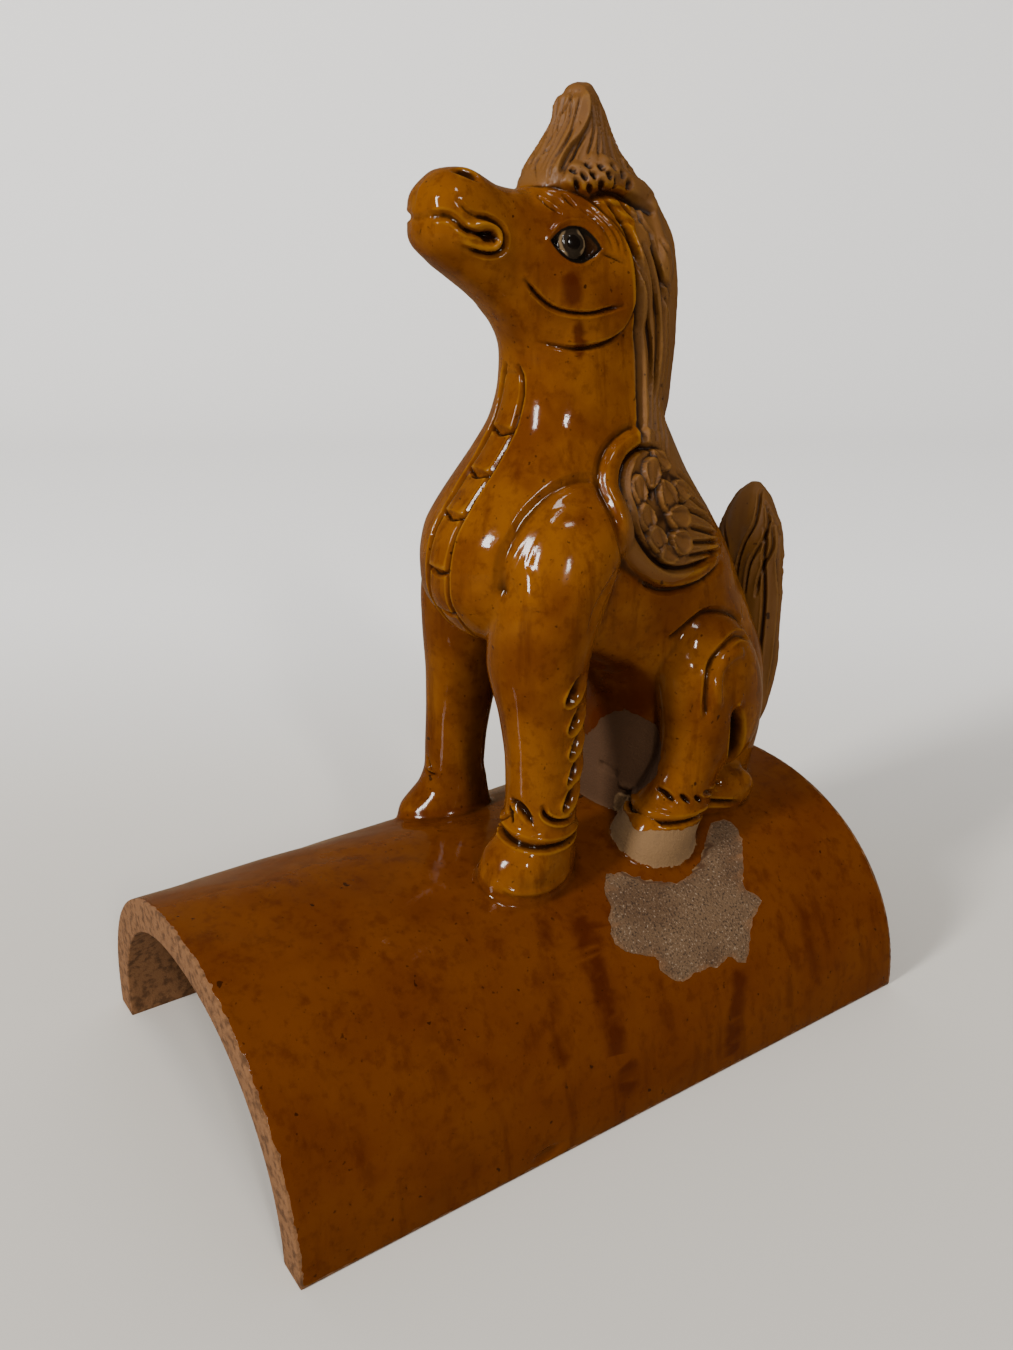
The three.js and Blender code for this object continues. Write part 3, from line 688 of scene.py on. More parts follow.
# Hoof bands, the round toe of the left hoof and the cuts over them.
dome("side", (-15, 4.6), (9, 5.6), 1.3, lean=-0.3, soft=0.9, sides=LEFT)
dome("front", (24, 4), (9, 5.6), 1.0, soft=0.9, sides=LEFT)
band((22.4, -4.6), 17, 12.6, (0.12, 0.12), 1.15, 1.7, 0.85, 0.9)
dome("side", (-13, 19.8), (3.6, 0.95), -2.0, lean=-1.25, soft=0.7, pool=0.9, sides=LEFT)
cut("side", [(-9, 21.6), (-8.6, 19.4), (-6.4, 17.4), (-3, 16.2), (1.6, 15.6)], 1.0, 1.9, lip=0.6,
    ends=0.3, sides=LEFT)
dome("front", (17.2, 21), (0.9, 2.4), -1.8, lean=0.15, soft=0.7, pool=0.9, sides=LEFT)
dome("front", (23, 17.8), (1.1, 2.6), -1.8, lean=0.5, soft=0.7, pool=0.9, sides=LEFT)
dome("front", (27, 14.4), (0.6, 2.2), -1.2, lean=-0.5, soft=0.7, pool=0.8, sides=RIGHT)
cut("front", [(23.6, 11.6), (26, 11.4), (28.4, 11.6)], 0.6, 0.9, lip=0.4, sides=RIGHT)
cut("side", [(-9, 20), (-6.6, 17.4), (1, 15.6)], 0.9, 1.4, lip=0.5, sides=RIGHT)
roll("side", [(-23.4, 0.6), (-21, -1), (-15.6, -2.2), (-7.6, -2.8), (-0.3, -1.8)], 1.2, 0.7, sides=LEFT)


# Hind legs
# A haunch like an egg with the shank and hoof folded in front of it and the heel behind.
# The haunch has a raised arc and a teardrop hollow, and the left hoof has lost its glaze in front.
for side in BOTH:
    loft(
        [
            (side * x, y, z, wide, deep)
            for x, y, z, wide, deep in (
                (27, 51, 63, 3, 4), (27, 49, 56, 8.5, 10), (28, 51, 46, 11, 13), (28, 53, 33, 11.5, 13),
                (27, 53, 22, 10.5, 14), (26, 49, 13, 10.5, 15), (26, 43, 5, 12, 16.5),
                (26, 38.5, -2, 13, 15.5), (26, 38.5, LEG_FOOT, 13, 15.5),
            )
        ],
        up=LEVEL, splay=side * HOOF_SPLAY,
    )


def egg(centre, radii, lean=0.0, turn=0.0):
    """An egg of clay, leaned back about X and turned about Z."""
    round_about = np.linspace(0, 2 * math.pi, SIDES, endpoint=False)
    from_pole = np.linspace(0, math.pi, SIDES // 2)[1:-1]
    ball = [(0, 0, 1)]
    for a in from_pole:
        for b in round_about:
            ball.append((math.sin(a) * math.cos(b), math.sin(a) * math.sin(b), math.cos(a)))
    ball.append((0, 0, -1))
    spin = Matrix.Rotation(turn, 3, "Z") @ Matrix.Rotation(lean, 3, "X")
    corners = (np.array(ball) * radii) @ np.array(spin).T + centre + np.array([0, 0, CROWN])
    faces = []
    for i in range(len(from_pole) - 1):
        for j in range(SIDES):
            k = (j + 1) % SIDES
            first = 1 + i * SIDES
            faces.append((first + j, first + k, first + SIDES + k, first + SIDES + j))
    last = 1 + (len(from_pole) - 1) * SIDES
    for j in range(SIDES):
        k = (j + 1) % SIDES
        faces.append((0, 1 + k, 1 + j))
        faces.append((len(corners) - 1, last + j, last + k))
    clay.append((corners, faces))


for side in BOTH:
    egg((side * 26, 59.5, 41), (12.5, 19.5, 28.5), lean=0.32)
    egg((side * 21, 66, 2), (8, 17, 9), turn=side * -0.25)

cut("side", [(47, 38), (46.5, 46), (49, 54), (55, 58.8), (62, 60.8), (70, 58)], 1.5, 1.4, lip=0.3,
    ends=0.1, pool=0.35)
roll("side", [(50.4, 40), (50.6, 48), (53.4, 53.4), (58.4, 56), (64, 56)], 1.8, 1.0, ends=0.1)
edge("side", [(37, 62.7), (42, 65.4), (47, 68), (52, 69.8), (59, 68.6), (67.5, 64.4), (74, 59)], 1.8,
     1.2, 5.0, pool=0.5)
dome("side", (61.6, 27), (3.7, 12), -4.8, lean=0.25, soft=0.5, pool=0.95)
roll("side", [(60.6, 42), (57.6, 36.4), (57.8, 28), (60, 20)], 1.3, 0.9)
for side in BOTH:
    band((side * 26, 46.5), 17.5, 12.4, (side * 0.06, 0.12), 1.05, 1.6, 0.85, 0.7)
for hind_pit, hind_lean in (
    ((33.4, 13.8), -1.0), ((37, 13.6), -0.9), ((42, 12), -0.8), ((47.2, 10.6), -0.7),
):
    dome("side", hind_pit, (2.3, 0.85), -1.8, lean=hind_lean, soft=0.7, pool=0.95)
cut("side", [(50, 12), (57, 9.6), (64.7, 7.4)], 1.0, 1.7, lip=0.5, ends=0.4)
cut("side", [(47, 5), (55, 3.2), (64, 1), (72, -1)], 1.4, 1.6, lip=0.2, ends=0.4)
cut("front", [(6.5, -1), (12.9, 6.7), (17.4, 12.3), (24, 19)], 0.7, 0.9, lip=0.1, sides=LEFT, pool=0.7)

# Runs of glaze down the tile, and a chip out of its lower edge.
for run, run_width, run_strength, run_sides in (
    ([(-3, -8.6), (-6, -16.6), (-7.6, -27.5), (-7.8, -40.4), (-5.4, -56.8)], 3.4, 1.1, LEFT),
    ([(-12.8, -7.1), (-19.7, -15.6), (-24.7, -27.1), (-27, -40)], 2.4, 0.7, LEFT),
    ([(42.6, -34), (39, -42.5), (35.3, -54.2), (34, -60)], 3.2, 1.05, LEFT),
    ([(74, -20), (72, -38), (72, -56)], 2.8, 0.6, LEFT),
    ([(-60, -14), (-62, -34), (-61, -54)], 2.6, 0.5, LEFT),
    ([(-88, -20), (-87, -40), (-88, -58)], 2.4, 0.5, LEFT),
    ([(12, -24), (11, -40), (12, -58)], 2.6, 0.5, LEFT),
    ([(-3, -10), (-6, -24), (-7, -42)], 3.2, 0.6, RIGHT),
    ([(44, -20), (42, -36), (42, -56)], 3.0, 0.6, RIGHT),
):
    stain(run, run_width, run_strength, run_sides)
dome("side", (-35, -60.4), (4.6, 1.8), -0.9, lean=0.1, soft=0.6, sides=LEFT)


# Luting and smoothing
# The forms are joined into one skin, their joins are filled with slip, and all of it is smoothed with a wet
# finger. Then the tool work falls on the skin.
VOXEL = 0.42
SLIP_SPREAD = 1.6
WET_FINGER_SPREAD = 2.2
EDGE_KEPT = 0.12
EDGE_SHARP = 1
EDGE_SOFT = 3
SLIP_UNDER_CROWN = 30
SLIP_HALF_WIDTH = 48
PULL = 0.5
PUSH_BACK = 1.04
NORMALS_EVERY = 10

raw_corners = []
raw_faces = []
for corners, faces in clay:
    raw_faces.extend(tuple(i + len(raw_corners) for i in face) for face in faces)
    raw_corners.extend(map(tuple, corners * MM))
raw = bpy.data.meshes.new("raw_clay")
raw.from_pydata(raw_corners, [], raw_faces)
raw_clay = bpy.data.objects.new("raw_clay", raw)
bpy.context.scene.collection.objects.link(raw_clay)
luted = raw_clay.modifiers.new("luted", "REMESH")
luted.mode = "VOXEL"
luted.voxel_size = VOXEL * MM
skin = bpy.data.meshes.new_from_object(raw_clay.evaluated_get(bpy.context.evaluated_depsgraph_get()))
bpy.data.objects.remove(raw_clay)


def numbers(items, name, width, kind=float):
    """One number, or a row of them, for each item of a mesh."""
    out = np.empty(len(items) * width, np.int32 if kind is int else np.float32)
    items.foreach_get(name, out)
    return out.reshape(-1, width).astype(kind)


points = numbers(skin.vertices, "co", 3) / MM
edges = numbers(skin.edges, "vertices", 2, int)
ends_from = np.concatenate([edges[:, 0], edges[:, 1]])
ends_to = np.concatenate([edges[:, 1], edges[:, 0]])
by_point = np.argsort(ends_from, kind="stable")
next_to = ends_to[by_point]
counts = np.bincount(ends_from, minlength=len(points))
first_next = np.concatenate([[0], np.cumsum(counts)[:-1]])


def neighbour_mean(values):
    """The mean of each point's neighbours."""
    total = np.add.reduceat(values[next_to], first_next, axis=0)
    return total / (counts if values.ndim == 1 else counts[:, None])


def steps_for(spread, pull=PULL):
    """Rounds of smoothing that blur the skin over a spread in millimetres."""
    return max(1, int(2 * spread**2 / (pull * VOXEL**2)))


def smoothstep(low, high, values):
    """A soft step from 0 at low to 1 at high."""
    share = np.clip((values - low) / (high - low), 0, 1)
    return share * share * (3 - 2 * share)


def bell(values, width):
    """1 at 0, falling off on both sides over a width."""
    return np.exp(-((values / width) ** 2))


def skin_normals():
    """The way out of the clay at each point, as the points now lie."""
    skin.vertices.foreach_set("co", (points * MM).ravel())
    skin.update()
    out = np.empty(len(points) * 3, np.float32)
    skin.vertex_normals.foreach_get("vector", out)
    return out.reshape(-1, 3).astype(float)


at_end = smoothstep(TILE_HALF_LENGTH - EDGE_SOFT, TILE_HALF_LENGTH - EDGE_SHARP, np.abs(points[:, 1]))
at_foot = smoothstep(EDGE_SOFT, EDGE_SHARP, points[:, 2])
give = (1 - (1 - EDGE_KEPT) * np.maximum(at_end, at_foot))[:, None]
on_horse = (points[:, 2] > CROWN - SLIP_UNDER_CROWN)[:, None] * (np.abs(points[:, :1]) < SLIP_HALF_WIDTH)
for step in range(steps_for(SLIP_SPREAD)):
    if step % NORMALS_EVERY == 0:
        normals = skin_normals()
    outward = ((neighbour_mean(points) - points) * normals).sum(1, keepdims=True)
    points += on_horse * give * PULL * np.maximum(outward, 0) * normals
for step in range(steps_for(WET_FINGER_SPREAD) // 3):
    for pull in (PULL, -PULL * PUSH_BACK):
        points += pull * give * (neighbour_mean(points) - points)

normals = skin_normals()
smooth_points = points.copy()
body = bpy.data.objects.new("glazed_horse_ridge_tile", skin)
bpy.context.scene.collection.objects.link(body)
bpy.context.view_layer.update()

by_height = np.argsort(points[:, 2])
sorted_heights = points[by_height, 2]


def fall(view, flat_point, side, start=FAR_OUT):
    """The point of the skin, and its normal, under a point of one of the four views."""
    a, b = flat_point
    origin, direction = {
        "side": ((side * start, a, b + CROWN), (-side, 0, 0)),
        "front": ((side * a, -FAR_OUT if start == FAR_OUT else start, b + CROWN), (0, 1, 0)),
        "back": ((side * a, start, b + CROWN), (0, -1, 0)),
        "top": ((side * a, b, start), (0, 0, -1)),
    }[view]
    found, spot, normal, _ = body.ray_cast(Vector(origin) * MM, Vector(direction))
    return (np.array(spot) / MM, np.array(normal)) if found else None


def near(low, high):
    """Indices of the skin's points inside a box."""
    first, last = np.searchsorted(sorted_heights, (low[2], high[2]))
    index = by_height[first:last]
    here = points[index]
    inside = (here[:, :2] > low[:2]).all(1) & (here[:, :2] < high[:2]).all(1)
    return index[inside]


STROKE_STEP = 0.35
STROKE_PIECE = 10
LONGEST_JUMP = 1.8
FEWEST_FALLEN = 4
NORMALS_AVERAGED = 5


def laid(stroke, side):
    """A stroke's fall on the skin, as far as it runs without a jump: points, normals and directions."""
    drawn = np.asarray(stroke["points"], float)
    length = np.linalg.norm(np.diff(drawn, axis=0), axis=1).sum()
    dense = curve_through(drawn, max(4, int(length / STROKE_STEP)))
    runs = [[]]
    for flat_point in dense:
        hit = fall(stroke["view"], flat_point, side, stroke["start"])
        if hit is None or (runs[-1] and np.linalg.norm(hit[0] - runs[-1][-1][0]) > LONGEST_JUMP):
            runs.append([])
        if hit is not None:
            runs[-1].append(hit)
    fallen = max(runs, key=len)
    if len(fallen) < FEWEST_FALLEN:
        return None
    place = np.array([p for p, _ in fallen])
    normal = np.array([n for _, n in fallen])
    kernel = np.ones(NORMALS_AVERAGED) / NORMALS_AVERAGED
    margin = NORMALS_AVERAGED // 2
    padded = np.pad(normal, ((margin, margin), (0, 0)), mode="edge")
    normal = unit(np.stack([np.convolve(padded[:, k], kernel, "valid") for k in range(3)], 1))
    along = unit(np.gradient(place, axis=0))
    return place, normal, along


lift = np.zeros(len(points))
pooled = np.zeros(len(points))
stains_and_belly_shade = np.zeros(len(points))
nearest = np.full(len(points), np.inf)
beside = np.zeros(len(points))
passed = np.zeros(len(points))

# How a mark falls off across its width: how full it is, where its lip lies, how wide glaze pools in it.
CUT_FULLNESS = 1.2
ROLL_FULLNESS = 0.7
LIP_PLACE = 1.35
LIP_WIDTH = 0.4
POOL_WIDTH = 0.62
GROOVE_WIDTH = 0.6
GROOVE_DEPTH = 0.4
TAPER_LENGTH = 3.0
EDGE_TAPER = 0.1


def darken(index, amount):
    """Glaze pools to an amount, or stays as dark as it is."""
    pooled[index] = np.maximum(pooled[index], amount)


def press(stroke, side):
    """Adds one stroke to the lift of the skin, and its glaze to the pools."""
    fallen = laid(stroke, side)
    if fallen is None:
        return
    place, normal, along = fallen
    mirrored = -side if stroke["view"] == "back" else side
    across = np.cross(normal, along) * mirrored
    width = stroke["width"]
    reach = max(width * 2.2, stroke["fade"] * 2.5)
    touched = []
    for first in range(0, len(place), STROKE_PIECE):
        piece = slice(first, min(len(place), first + STROKE_PIECE + 1))
        index = near(place[piece].min(0) - reach, place[piece].max(0) + reach)
        if not len(index):
            continue
        away = points[index][:, None] - place[piece][None]
        closest = (away**2).sum(2).argmin(1)
        away = away[np.arange(len(index)), closest]
        spot = closest + first
        facing = (normals[index] * normal[spot]).sum(1) > 0.1
        slide = np.clip((away * along[spot]).sum(1), -STROKE_STEP, STROKE_STEP)
        away -= slide[:, None] * along[spot]
        distance = np.linalg.norm(away, axis=1)
        better = facing & (distance < nearest[index]) & (distance < reach)
        index, spot, distance, away = index[better], spot[better], distance[better], away[better]
        nearest[index] = distance
        beside[index] = (away * across[spot]).sum(1)
        passed[index] = spot / (len(place) - 1)
        touched.append(index)
    if not touched:
        return
    index = np.unique(np.concatenate(touched))
    distance, s, t = nearest[index], beside[index], passed[index]
    r = distance / width
    nearest[index] = np.inf
    run = max(0.08, min(0.3, TAPER_LENGTH / (len(place) * STROKE_STEP)))
    taper = stroke["ends"] + (1 - stroke["ends"]) * smoothstep(0, run, np.minimum(t, 1 - t))
    height = stroke["height"] * taper
    if stroke["kind"] == "cut":
        lift[index] -= height * np.clip(1 - r * r, 0, 1) ** CUT_FULLNESS
        lift[index] += stroke["lip"] * taper * bell(r - LIP_PLACE, LIP_WIDTH)
        darken(index, stroke["pool"] * taper**0.5 * bell(r, POOL_WIDTH))
    elif stroke["kind"] == "roll":
        lift[index] += height * np.clip(1 - r * r, 0, 1) ** ROLL_FULLNESS
    elif stroke["kind"] == "stain":
        stains_and_belly_shade[index] = np.maximum(stains_and_belly_shade[index], height * bell(r, 1))
    else:
        fade = bell(np.maximum(s, 0), stroke["fade"]) * smoothstep(-0.5 * width, 0.5 * width, s)
        groove = bell(s + GROOVE_WIDTH * width, GROOVE_WIDTH * width)
        close = smoothstep(reach, 0.5 * reach, distance)
        ends = smoothstep(0, EDGE_TAPER, np.minimum(t, 1 - t))
        lift[index] += height * (fade - GROOVE_DEPTH * groove) * close * ends
        darken(index, stroke["pool"] * groove * ends)


petals = np.zeros(len(points))
PETAL_DISH = 0.45
PETAL_RIM = 0.3
PETAL_RIM_PLACE = 0.9
PETAL_GAP_PLACE = 1.1
PETAL_EDGE_WIDTH = 0.1
PETAL_RIB_POOL = 0.45
PETAL_GAP_POOL = 0.85
CLEARED = 0.9


def press_dome(lump, side):
    """Adds one lump, pit or petal to the lift of the skin."""
    hit = fall(lump["view"], lump["centre"], side)
    if hit is None:
        return
    centre, normal = hit
    reach = max(lump["size"]) * 1.6
    index = near(centre - reach, centre + reach)
    index = index[(normals[index] * normal).sum(1) > 0.0]
    a, b = {"side": (1, 2), "front": (0, 2), "back": (0, 2), "top": (0, 1)}[lump["view"]]
    mirrored = 1 if lump["view"] == "side" else side
    flat_a = (points[index, a] - centre[a]) * mirrored
    flat_b = points[index, b] - centre[b]
    c, s = math.cos(lump["lean"]), math.sin(lump["lean"])
    long = (flat_a * c + flat_b * s) / lump["size"][0]
    high = (flat_b * c - flat_a * s) / lump["size"][1]
    q = np.sqrt(long**2 + high**2)
    if lump["petal"]:
        fan = np.arctan2(high, long + 1.3)
        q = (np.abs(long) ** 1.7 + np.abs(high) ** 1.5) ** (1 / 1.6) + 0.05 * np.cos(PETAL_RIBS * fan)
    crown = smoothstep(1 + lump["soft"] * 0.5, 1 - lump["soft"], q)
    if lump["petal"]:
        dished = 1 - PETAL_DISH * np.clip(1 - q * q, 0, 1)
        rim = PETAL_RIM * bell(q - PETAL_RIM_PLACE, PETAL_EDGE_WIDTH)
        ribs = PETAL_RIB_DEPTH * np.cos(PETAL_RIBS * fan) * smoothstep(0, 0.5, q)
        rise = (lump["height"] * dished + rim + ribs) * crown
        petals[index] = np.where(crown > 0.02, np.maximum(rise, petals[index] * (1 - crown)), petals[index])
        pooled[index] *= 1 - CLEARED * crown
        between = np.clip(-np.cos(PETAL_RIBS * fan), 0, 1) * crown
        darken(index, PETAL_RIB_POOL * between)
        darken(index, PETAL_GAP_POOL * bell(q - PETAL_GAP_PLACE, PETAL_EDGE_WIDTH))
        return
    lift[index] += lump["height"] * crown
    if lump["height"] > 0:
        pooled[index] *= 1 - CLEARED * crown
    dark = crown if lump["pool"] < 0.9 else smoothstep(1.15, 0.8, q)
    darken(index, lump["pool"] * dark)


def press_band(ring):
    """Adds a groove and bead round one hoof."""
    x, y, z = points.T
    index = np.flatnonzero((np.hypot(x - ring["centre"][0], y - ring["centre"][1]) < ring["reach"])
                           & (np.abs(z - CROWN - ring["level"]) < 8) & (np.abs(normals[:, 2]) < 0.9))
    over = z[index] - CROWN - ring["level"] + ring["tilt"][0] * x[index] + ring["tilt"][1] * y[index]
    r = over / ring["width"]
    lift[index] -= ring["depth"] * np.clip(1 - r * r, 0, 1) ** CUT_FULLNESS
    lift[index] += ring["bead"] * bell(r - 2.1, 0.9) + 0.4 * ring["bead"] * bell(r + 1.4, 0.5)
    darken(index, ring["pool"] * bell(r, 0.85))


def press_strokes(kinds):
    """Presses every stroke of some kinds, in the order they were drawn."""
    for stroke in strokes:
        if stroke["kind"] in kinds:
            for side in stroke["sides"]:
                press(stroke, side)


for hoof_band in hoof_bands:
    press_band(hoof_band)
press_strokes(("roll", "edge", "stain"))
for lump in domes:
    for side in lump["sides"]:
        press_dome(lump, side)
press_strokes(("cut",))
lift += petals

# Plates of the breast strip, sunk between their side cuts and pillowed between the cross cuts.
over_crown = points[:, 2] - CROWN
faces_front = (normals[:, 1] < -0.2) & (points[:, 1] < 12)
in_strip = smoothstep(PLATE_HALF_WIDTH + 0.5, PLATE_HALF_WIDTH - 0.4, np.abs(points[:, 0])) * faces_front
in_strip *= smoothstep(PLATE_CUTS[-1] - 1, PLATE_CUTS[-1] + 1, over_crown)
in_strip *= smoothstep(PLATE_CUTS[0] + 1, PLATE_CUTS[0] - 1, over_crown)
pillow = np.zeros(len(points))
for upper, lower in zip(PLATE_CUTS, PLATE_CUTS[1:]):
    within = np.clip((over_crown - lower) / (upper - lower), 0, 1)
    bulge = (1 - 0.65 * within) * smoothstep(0, 0.1, within) * smoothstep(1, 0.93, within)
    pillow = np.maximum(pillow, bulge * (1 - 0.5 * (points[:, 0] / PLATE_HALF_WIDTH) ** 2))
lift += in_strip * (PLATE_CROWN * np.clip(pillow, 0, 1) - PLATE_SINK)

# Eyes: a sunk almond, a ball with a ring scratched in it, and a rim round the lids.
eye_y = points[:, 1] - EYE[0]
eye_z = over_crown - EYE[1]
eye_long = eye_y * math.cos(EYE_LEAN) + eye_z * math.sin(EYE_LEAN)
eye_high = eye_z * math.cos(EYE_LEAN) - eye_y * math.sin(EYE_LEAN)
at_eye = (np.hypot(eye_y, eye_z) < 14) & (np.abs(normals[:, 0]) > 0.3)
lid = np.where(at_eye, 1 - (eye_long / EYE_HALF_LENGTH) ** 2 - np.abs(eye_high) / EYE_HALF_HEIGHT, -3)
ball = np.where(at_eye, np.hypot(points[:, 1] - BALL[0], over_crown - BALL[1]), 20)
ball_across = np.where(at_eye, points[:, 1] - BALL[0], 0)
ball_rise = np.clip(1 - (ball / BALL_RADIUS) ** 2, 0, 1) ** 0.5
ball_shows = smoothstep(-0.1, 0.15, lid)
lift += -EYE_SINK * smoothstep(-0.05, 0.25, lid) + BALL_RISE * ball_rise * ball_shows
lift -= IRIS_GROOVE * bell(ball - IRIS_RADIUS, 0.3) * (lid > 0)
lift += LID_RIM * bell(lid + 0.3, 0.16) * at_eye

# The hand shows in slow waves of the skin.
WAVE_SEED = 33
WAVES = ((29, 0.12), (19, 0.08), (11, 0.05))
WAVES_EACH = 6
WAVES_TOGETHER = 2.4
draw = np.random.default_rng(WAVE_SEED)
wave = np.zeros(len(points))
for length, size in WAVES:
    for step in range(WAVES_EACH):
        direction = unit(draw.normal(size=3)) * 2 * math.pi / length
        wave += size / WAVES_TOGETHER * np.sin(points @ direction + draw.uniform(0, 2 * math.pi))
lift += wave * give[:, 0]

LAST_WIPE = 0.25
points = points + normals * lift[:, None]
points += LAST_WIPE * (neighbour_mean(points) - points) * give
CLAY_BOX = ((-TILE_HALF_WIDTH, TILE_HALF_WIDTH), (-TILE_HALF_LENGTH, TILE_HALF_LENGTH),
            (0, CROWN + HORSE_HEIGHT))
for axis, limits in enumerate(CLAY_BOX):
    points[:, axis] = np.clip(points[:, axis], *limits)

# Glaze runs off what stands proud and pools in what lies deep: crests are fine, hollows are broad.
CREST_SPREAD = 1.0
HOLLOW_SPREAD = 2.8
CREST_SCALE = 0.22
HOLLOW_SCALE = 1.3
AVERAGE_PULL = 0.9
now_normals = skin_normals()
averaged = points.copy()
for step in range(steps_for(HOLLOW_SPREAD, AVERAGE_PULL)):
    averaged += AVERAGE_PULL * (neighbour_mean(averaged) - averaged)
    if step + 1 == steps_for(CREST_SPREAD, AVERAGE_PULL):
        crest = ((points - averaged) * now_normals).sum(1) / CREST_SCALE
hollow = ((averaged - points) * now_normals).sum(1) / HOLLOW_SCALE
for step in range(2):
    crest += PULL * (neighbour_mean(crest) - crest)

# Where the clay is bare, in millimetres inside its edge.
x, y, z = smooth_points.T
arch = (np.abs(x) / TILE_HALF_WIDTH) ** TILE_ARCH_POWER + (np.clip(z, 0, None) / CROWN) ** TILE_ARCH_POWER
ends_bare = np.maximum(np.abs(y) - TILE_HALF_LENGTH + 0.9, 0.7 - z)
ends_bare = np.maximum(ends_bare, np.where(arch < 0.87, 3, -9))


def inside_outline(spots, outline):
    """Distance to a closed outline, more than 0 inside it."""
    best = np.full(len(spots), np.inf)
    within = np.zeros(len(spots), bool)
    for p, q in zip(outline, np.roll(outline, -1, 0)):
        run = q - p
        share = np.clip(((spots - p) @ run) / (run @ run), 0, 1)
        best = np.minimum(best, np.linalg.norm(spots - p - share[:, None] * run, axis=1))
        crosses = (p[1] > spots[:, 1]) != (q[1] > spots[:, 1])
        rise = run[1] if run[1] else 1e-9
        within ^= crosses & (spots[:, 0] < run[0] * (spots[:, 1] - p[1]) / rise + p[0])
    return np.where(within, best, -best)


patch_y, patch_z = np.array(WORN_PATCH).T
patch_x = TILE_HALF_WIDTH * (1 - ((patch_z + CROWN) / CROWN) ** TILE_ARCH_POWER) ** (1 / TILE_ARCH_POWER)
patch = np.stack([round_arch(patch_x, patch_z + CROWN), patch_y], 1)
worn = np.full(len(points), -9.0)
flank = (arch > 0.9) & (arch < 1.1) & (x > 5) & (y > -5) & (y < 75)
worn[flank] = inside_outline(np.stack([round_arch(x, z), y], 1)[flank], patch)

# The seat, seen from the front as [x, height over the crown], and the front of the left hind hoof.
SEAT_BARE = [
    (-6, 20), (0, 24), (5.9, 31.5), (14.8, 36.5), (20, 33.5), (25.9, 27), (27.7, 17), (23.3, 11.9),
    (16, 4), (12.6, -2), (5.8, -3), (-3, -3), (-6, 6),
]
seat = np.full(len(points), -9.0)
front_of_seat = (y > 24) & (y < 44) & (np.abs(x) < 32) & (z > CROWN - 4) & (z < CROWN + 45) & (arch > 1.02)
seat[front_of_seat] = inside_outline(np.stack([x, over_crown], 1)[front_of_seat], np.array(SEAT_BARE))
under_band = 10.4 - (z - CROWN) - 0.06 * x - 0.12 * y
kept_glaze = 4.2 - np.linalg.norm(smooth_points - [31, 30, CROWN + 6.4], axis=1)
hoof_bare = np.minimum.reduce([under_band, 49 - y, x - 13, (arch - 1.03) * 25, -kept_glaze])
hoof_bare = np.where((y > 18) & (y < 60) & (x < 42) & (z > CROWN - 14), hoof_bare, -9)
bare = np.clip(np.maximum.reduce([ends_bare, worn, seat, hoof_bare]), -9, 9)
grey = smoothstep(-1, 1, worn)
# The bare seat is marked low here, and later painted dark brown as shade under the belly.
rubbed_and_seat_shade = np.maximum(smoothstep(-1.4, -0.8, hoof_bare), 0.36 * smoothstep(-2, -1, seat)) * (1 - grey)

# Painted shade darkens the glaze under the belly; the glaze lies thin and dry on the hair.
BELLY_SHADE = 0.85
belly = smoothstep(8, 16, over_crown) * smoothstep(76, 66, over_crown)
belly = belly * smoothstep(-2, 6, y) * smoothstep(52, 44, y) * smoothstep(27, 22, np.abs(x))
# The painted belly shade is kept with the runs of glaze.
stains_and_belly_shade = np.maximum(stains_and_belly_shade, BELLY_SHADE * belly)
disc = np.linalg.norm(np.stack([(y - 38) / 25, (over_crown - 101) / 22], 1), axis=1)
hair = np.maximum.reduce([
    smoothstep(186, 190, over_crown) * smoothstep(0, 3, y),
    smoothstep(30, 33, y) * smoothstep(114, 120, over_crown),
    smoothstep(89, 92, y) * smoothstep(4, 12, over_crown),
    0.8 * smoothstep(1.0, 0.75, disc) * (np.abs(x) > 15),
])


# Firing
# The tooled skin is thinned to a mesh that a viewer can turn, denser where the carving is fine.
# Each point keeps what the glaze has to know of its place: how it was cut, stained, worn or left bare.
# It also keeps where shade is painted, under the belly and on the bare seat.
TRIANGLES = 192000
skin.vertices.foreach_set("co", (points * MM).ravel())
skin.update()
thinned = body.modifiers.new("thinned", "DECIMATE")
thinned.ratio = min(1.0, TRIANGLES / (2 * len(skin.polygons)))
fired = bpy.data.meshes.new_from_object(body.evaluated_get(bpy.context.evaluated_depsgraph_get()))
body.modifiers.clear()
body.data = fired
thinned_points = numbers(fired.vertices, "co", 3) / MM
for axis, limits in enumerate(CLAY_BOX):
    thinned_points[:, axis] = np.clip(thinned_points[:, axis], *limits)
fired.vertices.foreach_set("co", (thinned_points * MM).ravel())
fired.update()
finder = KDTree(len(points))
for index, corner in enumerate((points * MM).tolist()):
    finder.insert(corner, index)
finder.balance()
source = np.array([finder.find(vertex.co)[1] for vertex in fired.vertices])
on_tile = smoothstep(1.16, 1.06, arch)
# The stain values also carry the painted belly shade; the rubbed values also mark the seat painted as shade.
for name, values in (
    ("crest", np.clip(crest, -2, 2)), ("hollow", np.clip(hollow, -2, 2)), ("cut", pooled),
    ("stain", stains_and_belly_shade), ("bare", bare), ("grey", grey), ("rubbed_and_seat_shade", rubbed_and_seat_shade), ("hair", hair),
    ("tile", on_tile), ("lid", lid), ("ball", ball), ("ball_across", ball_across),
):
    stored = fired.attributes.new(name, "FLOAT", "POINT")
    stored.data.foreach_set("value", values[source].astype(np.float32))
fired.shade_smooth()


